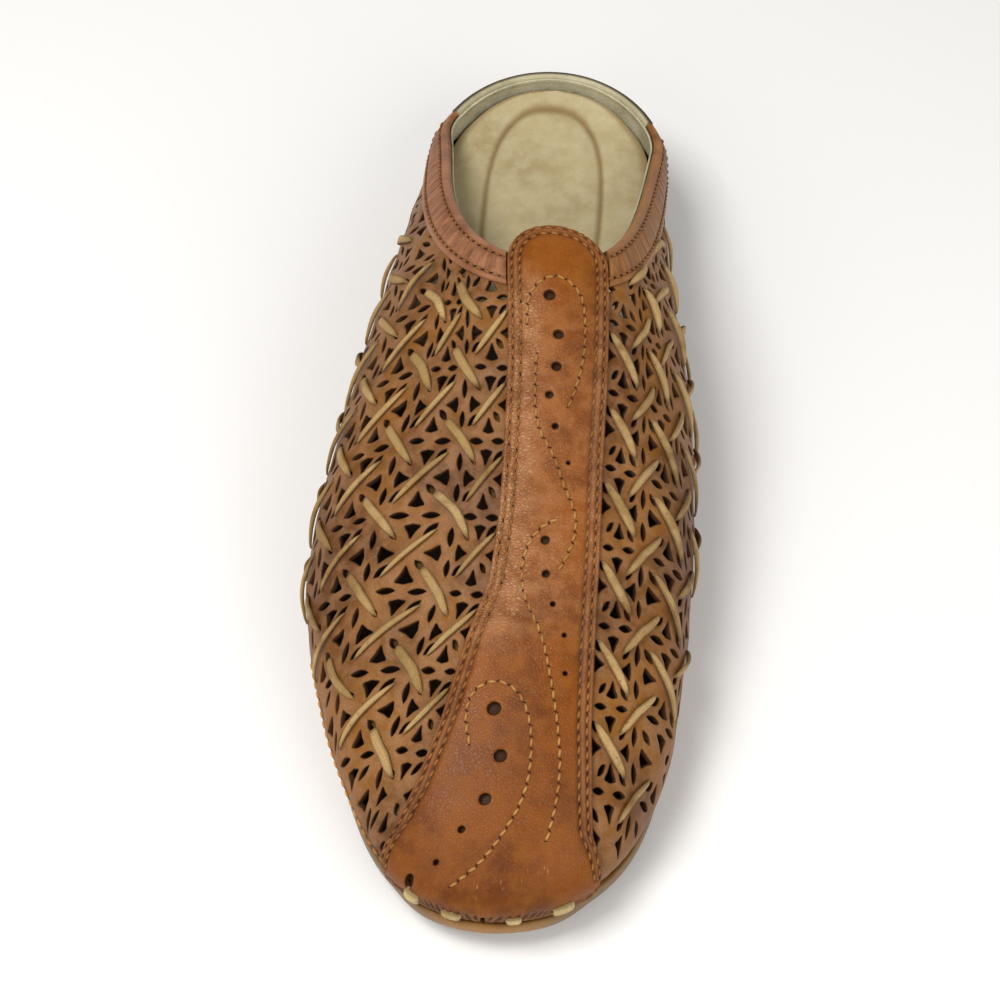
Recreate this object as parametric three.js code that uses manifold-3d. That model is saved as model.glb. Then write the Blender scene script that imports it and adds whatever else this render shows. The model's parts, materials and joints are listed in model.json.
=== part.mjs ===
import * as THREE from 'three';
import { mergeVertices } from 'three/addons/utils/BufferGeometryUtils.js';
import Module from 'manifold-3d';

// Right mule, millimetres, +Z up, toe towards -Y, medial side towards +X, standing on z = 0.
// Stations s run from the back of the heel (0) to the tip of the toe (LENGTH).
// A section coordinate t runs over the foot: -2 lateral feather line, -1 lateral bulge, 0 ridge,
// 1 medial bulge, 2 medial feather line.

const LENGTH = 258;
const HEEL_Y = 130.09;
const AXIS_X = 3.22;
const HEEL_ROUND = 32;
const TOE_ROUND = 48;

const FIT_GAP = 0.3;
const WALL = 1.6;
const STRIP_THICK = 1.4;
const BAND_THICK = 1.1;
const BAND_WIDTH = 9.4;
const RIM_THICK = 2.6;
const RIM_HIGH = 1.3;
const RIM_SEAT = 0.4;

const SOLE_THICK = 4.8;
const SEAT_RISE = 17.5;
const ARCH_FRONT = 150;
const ARCH_RUN = 95;
const TOE_SPRING = 8.5;
const SPRING_START = 195;
const HEEL_BREAST = 66;
const HEEL_INSET = 1.2;
const SKIRT_TURN = THREE.MathUtils.degToRad(75);

const COLLAR_BACK = 16;
const COLLAR_FRONT = 105;
const RIM_Z = 34.2;
const THROAT_Z = 73;
const COLLAR_POWER = { lateral: 1.08, medial: 1.32 };
const TAB_END = 93.5;
const TAB_ROUND = 12.5;
const STRIP_FOOT = 1.72;

const INSOLE_THICK = 3.0;
const INSOLE_INSET = 1.4;
const HEEL_PAD = 3.4;

// Last sections: half widths at the bulge, ridge offset and height, bulge height, fullness, tuck under.
const LAST_COLUMNS = ['station', 'lateral', 'medial', 'ridgeX', 'ridgeZ', 'bulgeZ', 'full', 'tuck'];
const LAST_ROWS = [
  [0, 32.5, 31.5, 0, 44, 31, 0, 2],
  [30, 33, 32.4, 1, 50, 31, 0, 2.4],
  [60, 37.2, 34.3, 2, 61, 31, 0, 3],
  [90, 41.8, 38.4, 4, 71, 29.5, -0.06, 3.6],
  [105, 44.4, 41.2, 5, 73, 28, -0.08, 3.8],
  [120, 46.9, 43.4, 6, 70.5, 26, -0.04, 4],
  [150, 51, 45.4, 7, 60.5, 22, 0.1, 4],
  [180, 51.4, 45.2, 7, 50.5, 19, 0.16, 4],
  [205, 45.1, 43.3, 6, 43, 17, 0.14, 3.4],
  [230, 38.5, 41.4, 5, 37, 16.5, 0.1, 2.5],
  [258, 38.6, 43, 4, 32, 17, 0, 1.5],
];

// Centre strip: distance of its edges from the ridge, measured over the foot.
const STRIP_COLUMNS = ['station', 'left', 'right'];
const STRIP_ROWS = [
  [85, 11.6, 14.4],
  [110, 11.3, 14.5],
  [132, 10.6, 14.3],
  [155, 10.4, 14],
  [170, 10.4, 14.4],
  [186, 11.2, 15],
  [200, 15, 15.8],
  [218, 18.3, 17.1],
  [234, 22.6, 19.6],
  [241, 25.8, 21.2],
  [248, 31, 27],
  [252, 44, 44],
  [258, 60, 60],
];

// Lace lattice: pitch along the foot, first column beside the strip, column spacing over the foot.
const LATTICE = {
  lateral: { first: 78, pitch: 18.4, beside: 10.8, inboard: 13, near: 7.2, far: 21, column: 18.5 },
  medial: { first: 79.4, pitch: 18.9, beside: 11.4, inboard: 13, near: 9, far: 20, column: 18.5 },
};
const ROW_COUNT = 10;
const COLUMN_COUNT = 4;
const LACE_WIDTH = 2.3;
const LACE_RISE = 0.8;
const LACE_REACH = 0.31;
const CUT_APEX = 0.17;
const CUT_BASE = 0.36;
const CUT_HALF = 0.12;
const FEATHER_MARGIN = 10;
const BAND_MARGIN = 6.6;
const STRIP_MARGIN = 2.2;

// Toe ties: place along the toe edge (x from the axis), width.
const TOE_TIES = [
  { x: -17, width: 3.4 },
  { x: -8.5, width: 4.6 },
  { x: 6.5, width: 3.6 },
  { x: 18, width: 4.6 },
];

const wasm = await Module();
wasm.setup();

function spline(stations, values) {
  const n = stations.length;
  const second = new Array(n).fill(0);
  const work = new Array(n).fill(0);
  for (let i = 1; i < n - 1; i += 1) {
    const sig = (stations[i] - stations[i - 1]) / (stations[i + 1] - stations[i - 1]);
    const p = sig * second[i - 1] + 2;
    const rise = (values[i + 1] - values[i]) / (stations[i + 1] - stations[i]);
    const run = (values[i] - values[i - 1]) / (stations[i] - stations[i - 1]);
    second[i] = (sig - 1) / p;
    work[i] = (6 * (rise - run) / (stations[i + 1] - stations[i - 1]) - sig * work[i - 1]) / p;
  }
  for (let i = n - 2; i >= 0; i -= 1) {
    second[i] = second[i] * second[i + 1] + work[i];
  }
  return (s) => {
    let k = 0;
    while (k < n - 2 && s > stations[k + 1]) {
      k += 1;
    }
    const h = stations[k + 1] - stations[k];
    const a = (stations[k + 1] - s) / h;
    const b = 1 - a;
    const bend = (a ** 3 - a) * second[k] + (b ** 3 - b) * second[k + 1];
    return a * values[k] + b * values[k + 1] + bend * h * h / 6;
  };
}

function columnsOf(names, rows) {
  const stations = rows.map((row) => row[0]);
  const table = {};
  names.forEach((name, k) => {
    table[name] = spline(stations, rows.map((row) => row[k]));
  });
  return table;
}

function stepwise(rows, k) {
  return (s) => {
    let i = 0;
    while (i < rows.length - 2 && s > rows[i + 1][0]) {
      i += 1;
    }
    return THREE.MathUtils.mapLinear(s, rows[i][0], rows[i + 1][0], rows[i][k], rows[i + 1][k]);
  };
}

const last = columnsOf(LAST_COLUMNS, LAST_ROWS);
const stripEdge = {
  lateral: stepwise(STRIP_ROWS, STRIP_COLUMNS.indexOf('left')),
  medial: stepwise(STRIP_ROWS, STRIP_COLUMNS.indexOf('right')),
};

const clamp01 = (v) => THREE.MathUtils.clamp(v, 0, 1);
const stationAt = (u) => LENGTH * (1 - Math.cos(Math.PI * clamp01(u))) / 2;
const paramAt = (s) => Math.acos(THREE.MathUtils.clamp(1 - 2 * s / LENGTH, -1, 1)) / Math.PI;
const sideName = (side) => (side < 0 ? 'lateral' : 'medial');

function toeClose(s) {
  const q = clamp01((s - (LENGTH - TOE_ROUND)) / TOE_ROUND);
  return Math.sqrt(1 - q * q);
}

function endClose(s) {
  const h = clamp01((HEEL_ROUND - s) / HEEL_ROUND);
  return Math.sqrt(1 - h * h) * toeClose(s);
}

function soleBottom(s) {
  const arch = SEAT_RISE * (1 - Math.cos(Math.PI * clamp01((ARCH_FRONT - s) / ARCH_RUN))) / 2;
  const spring = TOE_SPRING * Math.max(0, (s - SPRING_START) / (LENGTH - SPRING_START)) ** 1.8;
  return arch + spring;
}

const soleTop = (s) => soleBottom(s) + SOLE_THICK;
const featherZ = (s) => soleTop(s) + FIT_GAP;
const bulgeX = (s, side) => side * last[sideName(side)](s) * endClose(s);

// Plan outline at the bulge with its outward normal.
function plan(s, side) {
  const u = paramAt(s);
  const before = stationAt(u - 1e-4);
  const after = stationAt(u + 1e-4);
  const normal = new THREE.Vector2(after - before, bulgeX(after, side) - bulgeX(before, side));
  if (u < 1e-6) {
    normal.set(0, side);
  }
  if (u > 1 - 1e-6) {
    normal.set(0, -side);
  }
  normal.normalize().multiplyScalar(side);
  return { x: bulgeX(s, side) + AXIS_X, y: HEEL_Y - s, nx: normal.x, ny: normal.y };
}

// The foot form: an elliptic dome over the bulge line and a skirt that turns in to the feather line.
function form(s, t) {
  const side = t < 0 ? -1 : 1;
  const a = Math.abs(t);
  const bulge = last.bulgeZ(s);
  if (a <= 1) {
    const angle = (1 - a) * Math.PI / 2;
    const ridgeX = last.ridgeX(s) * endClose(s);
    const across = Math.cos(angle) * (1 + last.full(s) * Math.sin(angle) ** 2);
    const x = ridgeX + (bulgeX(s, side) - ridgeX) * across;
    const z = bulge + (last.ridgeZ(s) - bulge) * toeClose(s) * Math.sin(angle);
    return new THREE.Vector3(x + AXIS_X, HEEL_Y - s, z);
  }
  const turn = (a - 1) * SKIRT_TURN;
  const edge = plan(s, side);
  const inset = last.tuck(s) * (1 - Math.cos(turn)) / (1 - Math.cos(SKIRT_TURN));
  const z = bulge + (featherZ(s) - bulge) * Math.sin(turn) / Math.sin(SKIRT_TURN);
  return new THREE.Vector3(edge.x - edge.nx * inset, edge.y - edge.ny * inset, z);
}

function tangents(s, t) {
  const u = paramAt(s);
  const lo = Math.max(0, u - 1e-3);
  const hi = Math.min(1, u + 1e-3);
  const along = form(stationAt(hi), t).sub(form(stationAt(lo), t)).divideScalar(stationAt(hi) - stationAt(lo));
  const over = form(s, t + 1e-3).sub(form(s, t - 1e-3)).divideScalar(2e-3);
  return { along, over };
}

function outward(s, t) {
  const atHeel = s < 1e-6;
  const atToe = s > LENGTH - 1e-6;
  if (atHeel || atToe) {
    const sign = atHeel ? 1 : -1;
    if (atToe && Math.abs(t) <= 1) {
      return new THREE.Vector3(0, -1, 0);
    }
    const over = form(s, Math.abs(t) + 1e-3).sub(form(s, Math.abs(t) - 1e-3));
    const normal = new THREE.Vector3(0, -over.z, over.y).normalize();
    return normal.multiplyScalar(Math.sign(normal.y) === sign ? 1 : -1);
  }
  const { along, over } = tangents(s, t);
  return new THREE.Vector3().crossVectors(over, along).normalize().negate();
}

const skin = (s, t, lift) => form(s, t).addScaledVector(outward(s, t), lift);

// Pieces laid over the form: level lift on the skirt, so that they hang straight down to the sole.
function over(s, t, lift) {
  if (Math.abs(t) <= 1) {
    return skin(s, t, lift);
  }
  const edge = plan(s, Math.sign(t));
  return form(s, t).add(new THREE.Vector3(edge.nx * lift, edge.ny * lift, 0));
}

// Section coordinate at a distance over the foot from the ridge.
function overAt(s, side, girth) {
  const steps = 48;
  let walked = 0;
  let before = form(s, 0);
  for (let k = 1; k <= steps; k += 1) {
    const t = side * 1.95 * k / steps;
    const here = form(s, t);
    const leg = here.distanceTo(before);
    if (walked + leg >= girth) {
      return side * 1.95 * (k - 1 + (girth - walked) / leg) / steps;
    }
    walked += leg;
    before = here;
  }
  return side * 1.95;
}

// A step over the form: from (s, t) by a length along a direction in space.
function walk(s, t, direction, length) {
  const { along, over } = tangents(s, t);
  const aa = along.dot(along);
  const ab = along.dot(over);
  const bb = over.dot(over);
  const da = along.dot(direction) * length;
  const db = over.dot(direction) * length;
  const det = aa * bb - ab * ab;
  return { s: s + (bb * da - ab * db) / det, t: t + (aa * db - ab * da) / det };
}

function collarZ(s, side) {
  const run = clamp01((s - COLLAR_BACK) / (COLLAR_FRONT - COLLAR_BACK));
  return RIM_Z + (THROAT_Z - RIM_Z) * run ** COLLAR_POWER[sideName(side)];
}

function collarT(s, side) {
  if (s >= COLLAR_FRONT) {
    return 0;
  }
  const bulge = last.bulgeZ(s);
  const rise = clamp01((collarZ(s, side) - bulge) / (last.ridgeZ(s) - bulge));
  return side * (1 - Math.asin(rise) * 2 / Math.PI);
}

// A point of the band: k from the back corner to the throat, depth down from the collar edge.
function bandPoint(side, k, depth) {
  const place = (v) => {
    const s = COLLAR_BACK + (COLLAR_FRONT - COLLAR_BACK) * Math.sin(v * Math.PI / 2);
    return { s, t: collarT(s, side) };
  };
  let at = place(k);
  const a = place(Math.max(0, k - 0.01));
  const b = place(Math.min(1, k + 0.01));
  const run = form(b.s, b.t).sub(form(a.s, a.t)).normalize();
  const legs = 4;
  for (let leg = 0; leg < legs && depth > 0; leg += 1) {
    const down = new THREE.Vector3().crossVectors(run, outward(at.s, at.t)).multiplyScalar(-side);
    at = walk(at.s, at.t, down, depth / legs);
  }
  return at;
}

class Facets {
  constructor() {
    this.points = [];
  }

  tri(a, b, c) {
    this.points.push(a.x, a.y, a.z, b.x, b.y, b.z, c.x, c.y, c.z);
  }

  quad(a, b, c, d) {
    this.tri(a, b, c);
    this.tri(a, c, d);
  }

  loft(rows, closed) {
    const count = closed ? rows.length : rows.length - 1;
    for (let i = 0; i < count; i += 1) {
      const one = rows[i];
      const two = rows[(i + 1) % rows.length];
      for (let j = 0; j < one.length - 1; j += 1) {
        this.quad(one[j], two[j], two[j + 1], one[j + 1]);
      }
    }
  }

  solid() {
    const raw = new THREE.BufferGeometry();
    raw.setAttribute('position', new THREE.Float32BufferAttribute(this.points, 3));
    const merged = mergeVertices(raw, 2e-3);
    const source = merged.index.array;
    const index = [];
    for (let k = 0; k < source.length; k += 3) {
      const [a, b, c] = [source[k], source[k + 1], source[k + 2]];
      if (a !== b && b !== c && a !== c) {
        index.push(a, b, c);
      }
    }
    const mesh = new wasm.Mesh({
      numProp: 3,
      vertProperties: merged.attributes.position.array,
      triVerts: Uint32Array.from(signedVolume(merged.attributes.position, index) < 0 ? index.reverse() : index),
    });
    return new wasm.Manifold(mesh);
  }
}

function signedVolume(position, index) {
  const a = new THREE.Vector3();
  const b = new THREE.Vector3();
  const c = new THREE.Vector3();
  let sum = 0;
  for (let k = 0; k < index.length; k += 3) {
    a.fromBufferAttribute(position, index[k]);
    b.fromBufferAttribute(position, index[k + 1]);
    c.fromBufferAttribute(position, index[k + 2]);
    sum += a.dot(b.cross(c));
  }
  return sum;
}

// A closed slab between two grids of the same size.
function slab(outer, inner) {
  const facets = new Facets();
  facets.loft(outer, false);
  facets.loft(inner.map((row) => [...row].reverse()), false);
  const lastRow = outer.length - 1;
  const lastColumn = outer[0].length - 1;
  for (let i = 0; i < lastRow; i += 1) {
    facets.quad(inner[i][0], inner[i + 1][0], outer[i + 1][0], outer[i][0]);
    facets.quad(outer[i][lastColumn], outer[i + 1][lastColumn], inner[i + 1][lastColumn], inner[i][lastColumn]);
  }
  for (let j = 0; j < lastColumn; j += 1) {
    facets.quad(inner[0][j], outer[0][j], outer[0][j + 1], inner[0][j + 1]);
    facets.quad(outer[lastRow][j], inner[lastRow][j], inner[lastRow][j + 1], outer[lastRow][j + 1]);
  }
  return facets.solid();
}

const spread = (count, make) => Array.from({ length: count + 1 }, (_, k) => make(k / count));

const throatStations = [98, 102.6, COLLAR_FRONT];
const wallStations = spread(25, stationAt).filter((s) => throatStations.every((v) => Math.abs(s - v) > 4));
wallStations.push(...throatStations);
wallStations.sort((a, b) => a - b);

function wallKnots(s, side) {
  const top = Math.abs(collarT(s, side));
  return [2, 1.55, ...spread(5, (k) => 1 + (top - 1) * k)].map((a) => side * a);
}

// The whole form as a closed body, lifted off the wall.
function wholeForm(lift) {
  const rows = wallStations.map((s) => {
    const crown = s < COLLAR_FRONT ? [collarT(s, 1) / 2, 0, collarT(s, -1) / 2] : [];
    const ring = [...wallKnots(s, 1), ...crown, ...wallKnots(s, -1).reverse()];
    const points = ring.map((t) => skin(s, t, lift));
    return [...points, points[0]];
  });
  const size = Math.max(...rows.map((row) => row.length));
  const even = rows.map((row) => {
    const middle = Math.floor(row.length / 2) - 1;
    const fill = new Array(size - row.length).fill(row[middle]);
    return [...row.slice(0, middle), ...fill, ...row.slice(middle)];
  });
  const facets = new Facets();
  facets.loft(even, false);
  return facets.solid();
}

// Upper: one wall from the feather line to the collar, its two sides joined along the ridge.
function upperWall() {
  const stations = wallStations;
  const facets = new Facets();
  for (const side of [-1, 1]) {
    const rows = stations.map((s) => wallKnots(s, side).map((t) => ({ s, t })));
    const outer = rows.map((row) => row.map((p) => skin(p.s, p.t, 0)));
    const inner = rows.map((row) => row.map((p) => skin(p.s, p.t, -WALL)));
    const flip = (grid) => (side > 0 ? grid : grid.map((row) => [...row].reverse()));
    const back = (grid) => (side > 0 ? grid.map((row) => [...row].reverse()) : grid);
    facets.loft(flip(outer), false);
    facets.loft(back(inner), false);
    const top = outer[0].length - 1;
    for (let i = 0; i < stations.length - 1; i += 1) {
      const foot = [inner[i][0], inner[i + 1][0], outer[i + 1][0], outer[i][0]];
      facets.quad(...(side > 0 ? foot : foot.reverse()));
      if (stations[i] < COLLAR_FRONT - 1e-6) {
        const rim = [outer[i][top], outer[i + 1][top], inner[i + 1][top], inner[i][top]];
        facets.quad(...(side > 0 ? rim : rim.reverse()));
      }
    }
  }
  return facets.solid();
}

// Lattice place (column i, row j) as a station and a distance over the foot.
function latticeAt(side, i, j) {
  const grid = LATTICE[sideName(side)];
  const s = grid.first + grid.pitch * j - 1.2 * i;
  const blend = THREE.MathUtils.smoothstep(j, 1.5, 5.5);
  const opening = grid.near + (grid.far - grid.near) * blend;
  const beside = stripEdge[sideName(side)](Math.min(s, 246)) + grid.beside;
  const inward = Math.min(0, i) * grid.inboard;
  const first = THREE.MathUtils.clamp(i, 0, 1) * opening;
  const rest = Math.max(0, i - 1) * grid.column;
  return { s, girth: beside + inward + first + rest };
}

// A point of the panel near a lattice place, or null off the open leather.
function panelPoint(side, i, j) {
  const { s, girth } = latticeAt(side, i, j);
  if (s < 24 || s > LENGTH - 8) {
    return null;
  }
  const t = overAt(s, side, girth);
  const foot = form(s, t);
  const edge = stripEdge[sideName(side)](s);
  const low = foot.distanceTo(form(s, side * 2)) > FEATHER_MARGIN && Math.abs(t) < 1.5;
  const beside = s < COLLAR_FRONT - 4 || girth > edge + STRIP_MARGIN;
  return low && beside && bandClear(side, foot) ? { s, t } : null;
}

const bandFoot = {};
for (const side of [-1, 1]) {
  bandFoot[side] = spread(60, (k) => {
    const at = bandPoint(side, k, BAND_WIDTH);
    return form(at.s, at.t);
  });
}

function bandClear(side, point) {
  let best = null;
  let reach = Infinity;
  for (const foot of bandFoot[side]) {
    const d = foot.distanceTo(point);
    if (d < reach) {
      reach = d;
      best = foot;
    }
  }
  const ahead = best.y > point.y || best.z > point.z + 2;
  return ahead && reach > BAND_MARGIN;
}

// A prism through the wall over a ring of panel points.
function prism(ring, low, high) {
  const facets = new Facets();
  const top = ring.map((p) => skin(p.s, p.t, high));
  const base = ring.map((p) => skin(p.s, p.t, low));
  for (let k = 0; k < ring.length; k += 1) {
    const next = (k + 1) % ring.length;
    facets.quad(base[k], base[next], top[next], top[k]);
  }
  for (let k = 1; k < ring.length - 1; k += 1) {
    facets.tri(top[0], top[k], top[k + 1]);
    facets.tri(base[0], base[k + 1], base[k]);
  }
  return facets.solid();
}

// The two wedge cuts fore and aft of a cell centre, their points towards it.
function wedgeCuts(side, i, j) {
  const cuts = [];
  for (const dj of [1, -1]) {
    const ring = [
      panelPoint(side, i, j + dj * CUT_APEX),
      panelPoint(side, i + CUT_HALF, j + dj * CUT_BASE),
      panelPoint(side, i - CUT_HALF, j + dj * CUT_BASE),
    ];
    if (ring.every(Boolean)) {
      cuts.push(prism(ring, -WALL - 1.2, 1.2));
    }
  }
  return cuts;
}

// A flat lace lying on the wall across a lattice place.
function laceRun(side, i, j, slant) {
  const ends = [-1, 1].map((k) => panelPoint(side, i + k * LACE_REACH, j + k * slant * LACE_REACH));
  if (!ends.every(Boolean)) {
    return null;
  }
  const middle = ends.map((p) => form(p.s, p.t));
  const run = middle[1].clone().sub(middle[0]).normalize();
  const rows = ends.map((p) => {
    const across = new THREE.Vector3().crossVectors(run, outward(p.s, p.t)).normalize();
    const left = walk(p.s, p.t, across, LACE_WIDTH / 2);
    const right = walk(p.s, p.t, across, -LACE_WIDTH / 2);
    const low = -WALL / 2;
    return [
      skin(left.s, left.t, low),
      skin(right.s, right.t, low),
      skin(right.s, right.t, LACE_RISE),
      skin(left.s, left.t, LACE_RISE),
    ];
  });
  const facets = new Facets();
  facets.loft(rows.map((row) => [...row, row[0]]), false);
  facets.quad(rows[0][0], rows[0][1], rows[0][2], rows[0][3]);
  facets.quad(rows[1][3], rows[1][2], rows[1][1], rows[1][0]);
  return facets.solid();
}

function perforatedUpper() {
  let cuts = [];
  const laces = [];
  for (const side of [-1, 1]) {
    for (let j = -2; j < ROW_COUNT; j += 1) {
      for (let i = -1; i < COLUMN_COUNT; i += 1) {
        cuts = cuts.concat(wedgeCuts(side, i + 0.5, j + 0.5));
        laces.push(laceRun(side, i, j, -1), laceRun(side, i + 0.5, j + 0.5, 1));
      }
    }
  }
  const wall = upperWall().subtract(wasm.Manifold.union(cuts));
  return wall.add(wasm.Manifold.union(laces.filter(Boolean)));
}

// A piece laid over the wall: the layer between two forms, cut to the piece's own outline.
function overlay(rows, thick) {
  const layer = wholeForm(FIT_GAP + thick).subtract(wholeForm(FIT_GAP));
  const low = rows.map((row) => row.map((p) => over(p.s, p.t, -2)));
  const high = rows.map((row) => row.map((p) => over(p.s, p.t, thick + 3)));
  return layer.intersect(slab(high, low));
}

// Centre strip: a free tab behind the throat, widening over the toe down to the feather line.
function centreStrip() {
  const toe = LENGTH - 0.02;
  const stations = [
    ...spread(5, (k) => TAB_END + TAB_ROUND * (1 - Math.cos(k * Math.PI / 2))),
    ...spread(13, (k) => TAB_END + TAB_ROUND + 9 + (238 - TAB_END - TAB_ROUND - 9) * k),
    ...spread(7, (k) => 242 + (toe - 242) * Math.sin(k * Math.PI / 2)),
  ];
  const rows = stations.map((s) => {
    const back = clamp01((TAB_END + TAB_ROUND - s) / TAB_ROUND);
    const narrow = Math.max(0.12, (1 - back ** 2.2) ** (1 / 2.2));
    const left = Math.max(-STRIP_FOOT, overAt(s, -1, stripEdge.lateral(s) * narrow));
    const right = Math.min(STRIP_FOOT, overAt(s, 1, stripEdge.medial(s) * narrow));
    return spread(6, (k) => ({ s, t: left + (right - left) * k }));
  });
  return overlay(rows, STRIP_THICK);
}

// Collar band of one side: from the back corner to the edge of the centre strip.
function collarBand(side) {
  const edge = stripEdge[sideName(side)];
  const reach = (depth) => {
    let k = 1;
    let at = bandPoint(side, k, depth);
    const clear = () => form(at.s, at.t).distanceTo(form(at.s, overAt(at.s, side, edge(at.s) + 0.45)));
    const inside = () => Math.abs(at.t) < Math.abs(overAt(at.s, side, edge(at.s) + 0.45));
    while (k > 0.5 && (inside() || clear() > 1.2)) {
      k -= 0.002;
      at = bandPoint(side, k, depth);
      if (!inside()) {
        break;
      }
    }
    return k;
  };
  const depths = [0.3, BAND_WIDTH / 2, BAND_WIDTH];
  const ends = depths.map(reach);
  const rows = spread(13, (k) => depths.map((depth, d) => bandPoint(side, 0.02 + (ends[d] - 0.02) * k, depth)));
  return overlay(rows, BAND_THICK);
}

// Rim: a rolled edge round the low back wall between the two band corners.
function heelRim() {
  const path = [
    ...spread(7, (k) => ({ s: stationAt(paramAt(COLLAR_BACK) * (1 - k)), side: -1 })),
    ...spread(7, (k) => ({ s: stationAt(paramAt(COLLAR_BACK) * k), side: 1 })).slice(1),
  ];
  const rows = path.map(({ s, side }) => {
    const normal = outward(s, collarT(s, side)).setZ(0).normalize();
    const seat = form(s, collarT(s, side)).addScaledVector(normal, (RIM_THICK - WALL) / 2);
    const inside = seat.clone().addScaledVector(normal, -RIM_THICK);
    const lift = (p, dz) => p.clone().setZ(p.z + dz);
    return [
      lift(seat, RIM_SEAT),
      lift(inside, RIM_SEAT),
      lift(inside, RIM_SEAT + RIM_HIGH),
      lift(seat, RIM_SEAT + RIM_HIGH),
      lift(seat, RIM_SEAT),
    ];
  });
  const facets = new Facets();
  const end = rows.length - 1;
  facets.loft(rows, false);
  facets.quad(rows[0][0], rows[0][1], rows[0][2], rows[0][3]);
  facets.quad(rows[end][3], rows[end][2], rows[end][1], rows[end][0]);
  return facets.solid();
}

// Flat pieces under the foot: a plan outline set off from the feather line, between two heights.
function plate(stations, setOff, columns, rings) {
  const grids = rings.map((ring) => stations.map((s) => {
    const ends = [-1, 1].map((side) => {
      const edge = plan(s, side);
      const inset = last.tuck(s) - setOff(s) - ring.shift;
      return new THREE.Vector2(edge.x - edge.nx * inset, edge.y - edge.ny * inset);
    });
    return spread(columns, (k) => {
      const p = ends[0].clone().lerp(ends[1], k);
      return new THREE.Vector3(p.x, p.y, ring.height(HEEL_Y - p.y, 2 * k - 1));
    });
  }));
  const facets = new Facets();
  const lastRow = stations.length - 1;
  facets.loft(grids[0].map((row) => [...row].reverse()), false);
  facets.loft(grids[grids.length - 1], false);
  for (let g = 0; g < grids.length - 1; g += 1) {
    const low = grids[g];
    const high = grids[g + 1];
    for (let i = 0; i < lastRow; i += 1) {
      facets.quad(low[i][0], low[i + 1][0], high[i + 1][0], high[i][0]);
      facets.quad(low[i + 1][columns], low[i][columns], high[i][columns], high[i + 1][columns]);
    }
    for (let j = 0; j < columns; j += 1) {
      facets.quad(low[0][j + 1], low[0][j], high[0][j], high[0][j + 1]);
      facets.quad(low[lastRow][j], low[lastRow][j + 1], high[lastRow][j + 1], high[lastRow][j]);
    }
  }
  return facets.solid();
}

const plateStations = [
  ...spread(6, (k) => HEEL_ROUND * (1 - Math.cos(k * Math.PI / 2))),
  ...spread(9, (k) => 46 + (ARCH_FRONT - 46) * k),
  172, SPRING_START, 203,
  ...spread(8, (k) => LENGTH - TOE_ROUND + TOE_ROUND * Math.sin(k * Math.PI / 2)),
];

function outsole() {
  const side = (s) => 0.8 * THREE.MathUtils.smoothstep(s, 205, 240);
  const front = (s) => 1.6 * THREE.MathUtils.smoothstep(s, 248, 256);
  const setOff = (s) => 1 + side(s) + front(s);
  return plate(plateStations, setOff, 4, [
    { shift: -0.9, height: (s) => soleBottom(s) },
    { shift: 0, height: (s) => soleBottom(s) + 0.9 },
    { shift: 0, height: (s) => soleTop(s) - 0.6 },
    { shift: -0.6, height: (s) => soleTop(s) },
  ]);
}

function heelBlock() {
  const stations = [
    ...spread(8, (k) => HEEL_ROUND * (1 - Math.cos(k * Math.PI / 2))),
    ...spread(3, (k) => 40 + (HEEL_BREAST - 40) * k),
  ];
  return plate(stations, () => 1 - HEEL_INSET, 4, [
    { shift: -1.6, height: () => 0 },
    { shift: -0.9, height: () => 0.8 },
    { shift: 0, height: (s) => soleBottom(s) - FIT_GAP },
  ]);
}

function insole() {
  const pad = (s, k) => HEEL_PAD * (1 - THREE.MathUtils.smoothstep(s, 62, 100)) * (1 - 0.12 * k ** 2);
  return plate(plateStations, () => -INSOLE_INSET, 4, [
    { shift: 0, height: (s) => featherZ(s) },
    { shift: 0, height: (s, k) => featherZ(s) + INSOLE_THICK - 0.8 + pad(s, k) },
    { shift: -0.8, height: (s, k) => featherZ(s) + INSOLE_THICK + pad(s, k) },
  ]);
}

// Toe tie: a short flat lace over the edge of the strip, down to the sole.
function toeTie({ x, width }) {
  const side = x < 0 ? -1 : 1;
  const stationOf = (v) => {
    let low = LENGTH - TOE_ROUND;
    let high = LENGTH;
    for (let k = 0; k < 40; k += 1) {
      const mid = (low + high) / 2;
      if (Math.abs(bulgeX(mid, side)) > Math.abs(v)) {
        low = mid;
      } else {
        high = mid;
      }
    }
    return low;
  };
  const columns = [-0.5, 0, 0.5].map((k) => stationOf(x + k * width));
  const grid = (lift) => columns.map((s) => [0.98, 1.35, 1.7].map((a) => over(s, side * a, lift)));
  const base = FIT_GAP + STRIP_THICK + FIT_GAP;
  return slab(grid(base + 1), grid(base));
}

const group = new THREE.Group();
group.name = 'mule';

function addPart(name, solid, color, roughness) {
  const mesh = solid.getMesh();
  const geometry = new THREE.BufferGeometry();
  geometry.setAttribute('position', new THREE.Float32BufferAttribute(mesh.vertProperties, 3));
  geometry.setIndex(new THREE.BufferAttribute(mesh.triVerts, 1));
  geometry.computeVertexNormals();
  const material = new THREE.MeshStandardMaterial({ color, roughness, metalness: 0 });
  material.name = name;
  const part = new THREE.Mesh(geometry, material);
  part.name = name;
  group.add(part);
}

addPart('outsole', outsole(), 0x6b4f22, 0.6);
addPart('heel', heelBlock(), 0x4f3a1f, 0.6);
addPart('insole', insole(), 0xb9ad86, 0.7);
addPart('upper', perforatedUpper(), 0xa5734b, 0.55);
addPart('centre_strip', centreStrip(), 0xa05c28, 0.4);
addPart('collar_band_lateral', collarBand(-1), 0xaf785a, 0.5);
addPart('collar_band_medial', collarBand(1), 0xaf785a, 0.5);
addPart('heel_rim', heelRim(), 0x6e5a3a, 0.6);
TOE_TIES.forEach((tie, k) => addPart(`toe_tie_${k + 1}`, toeTie(tie), 0xc8b48c, 0.6));

export default group;
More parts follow.
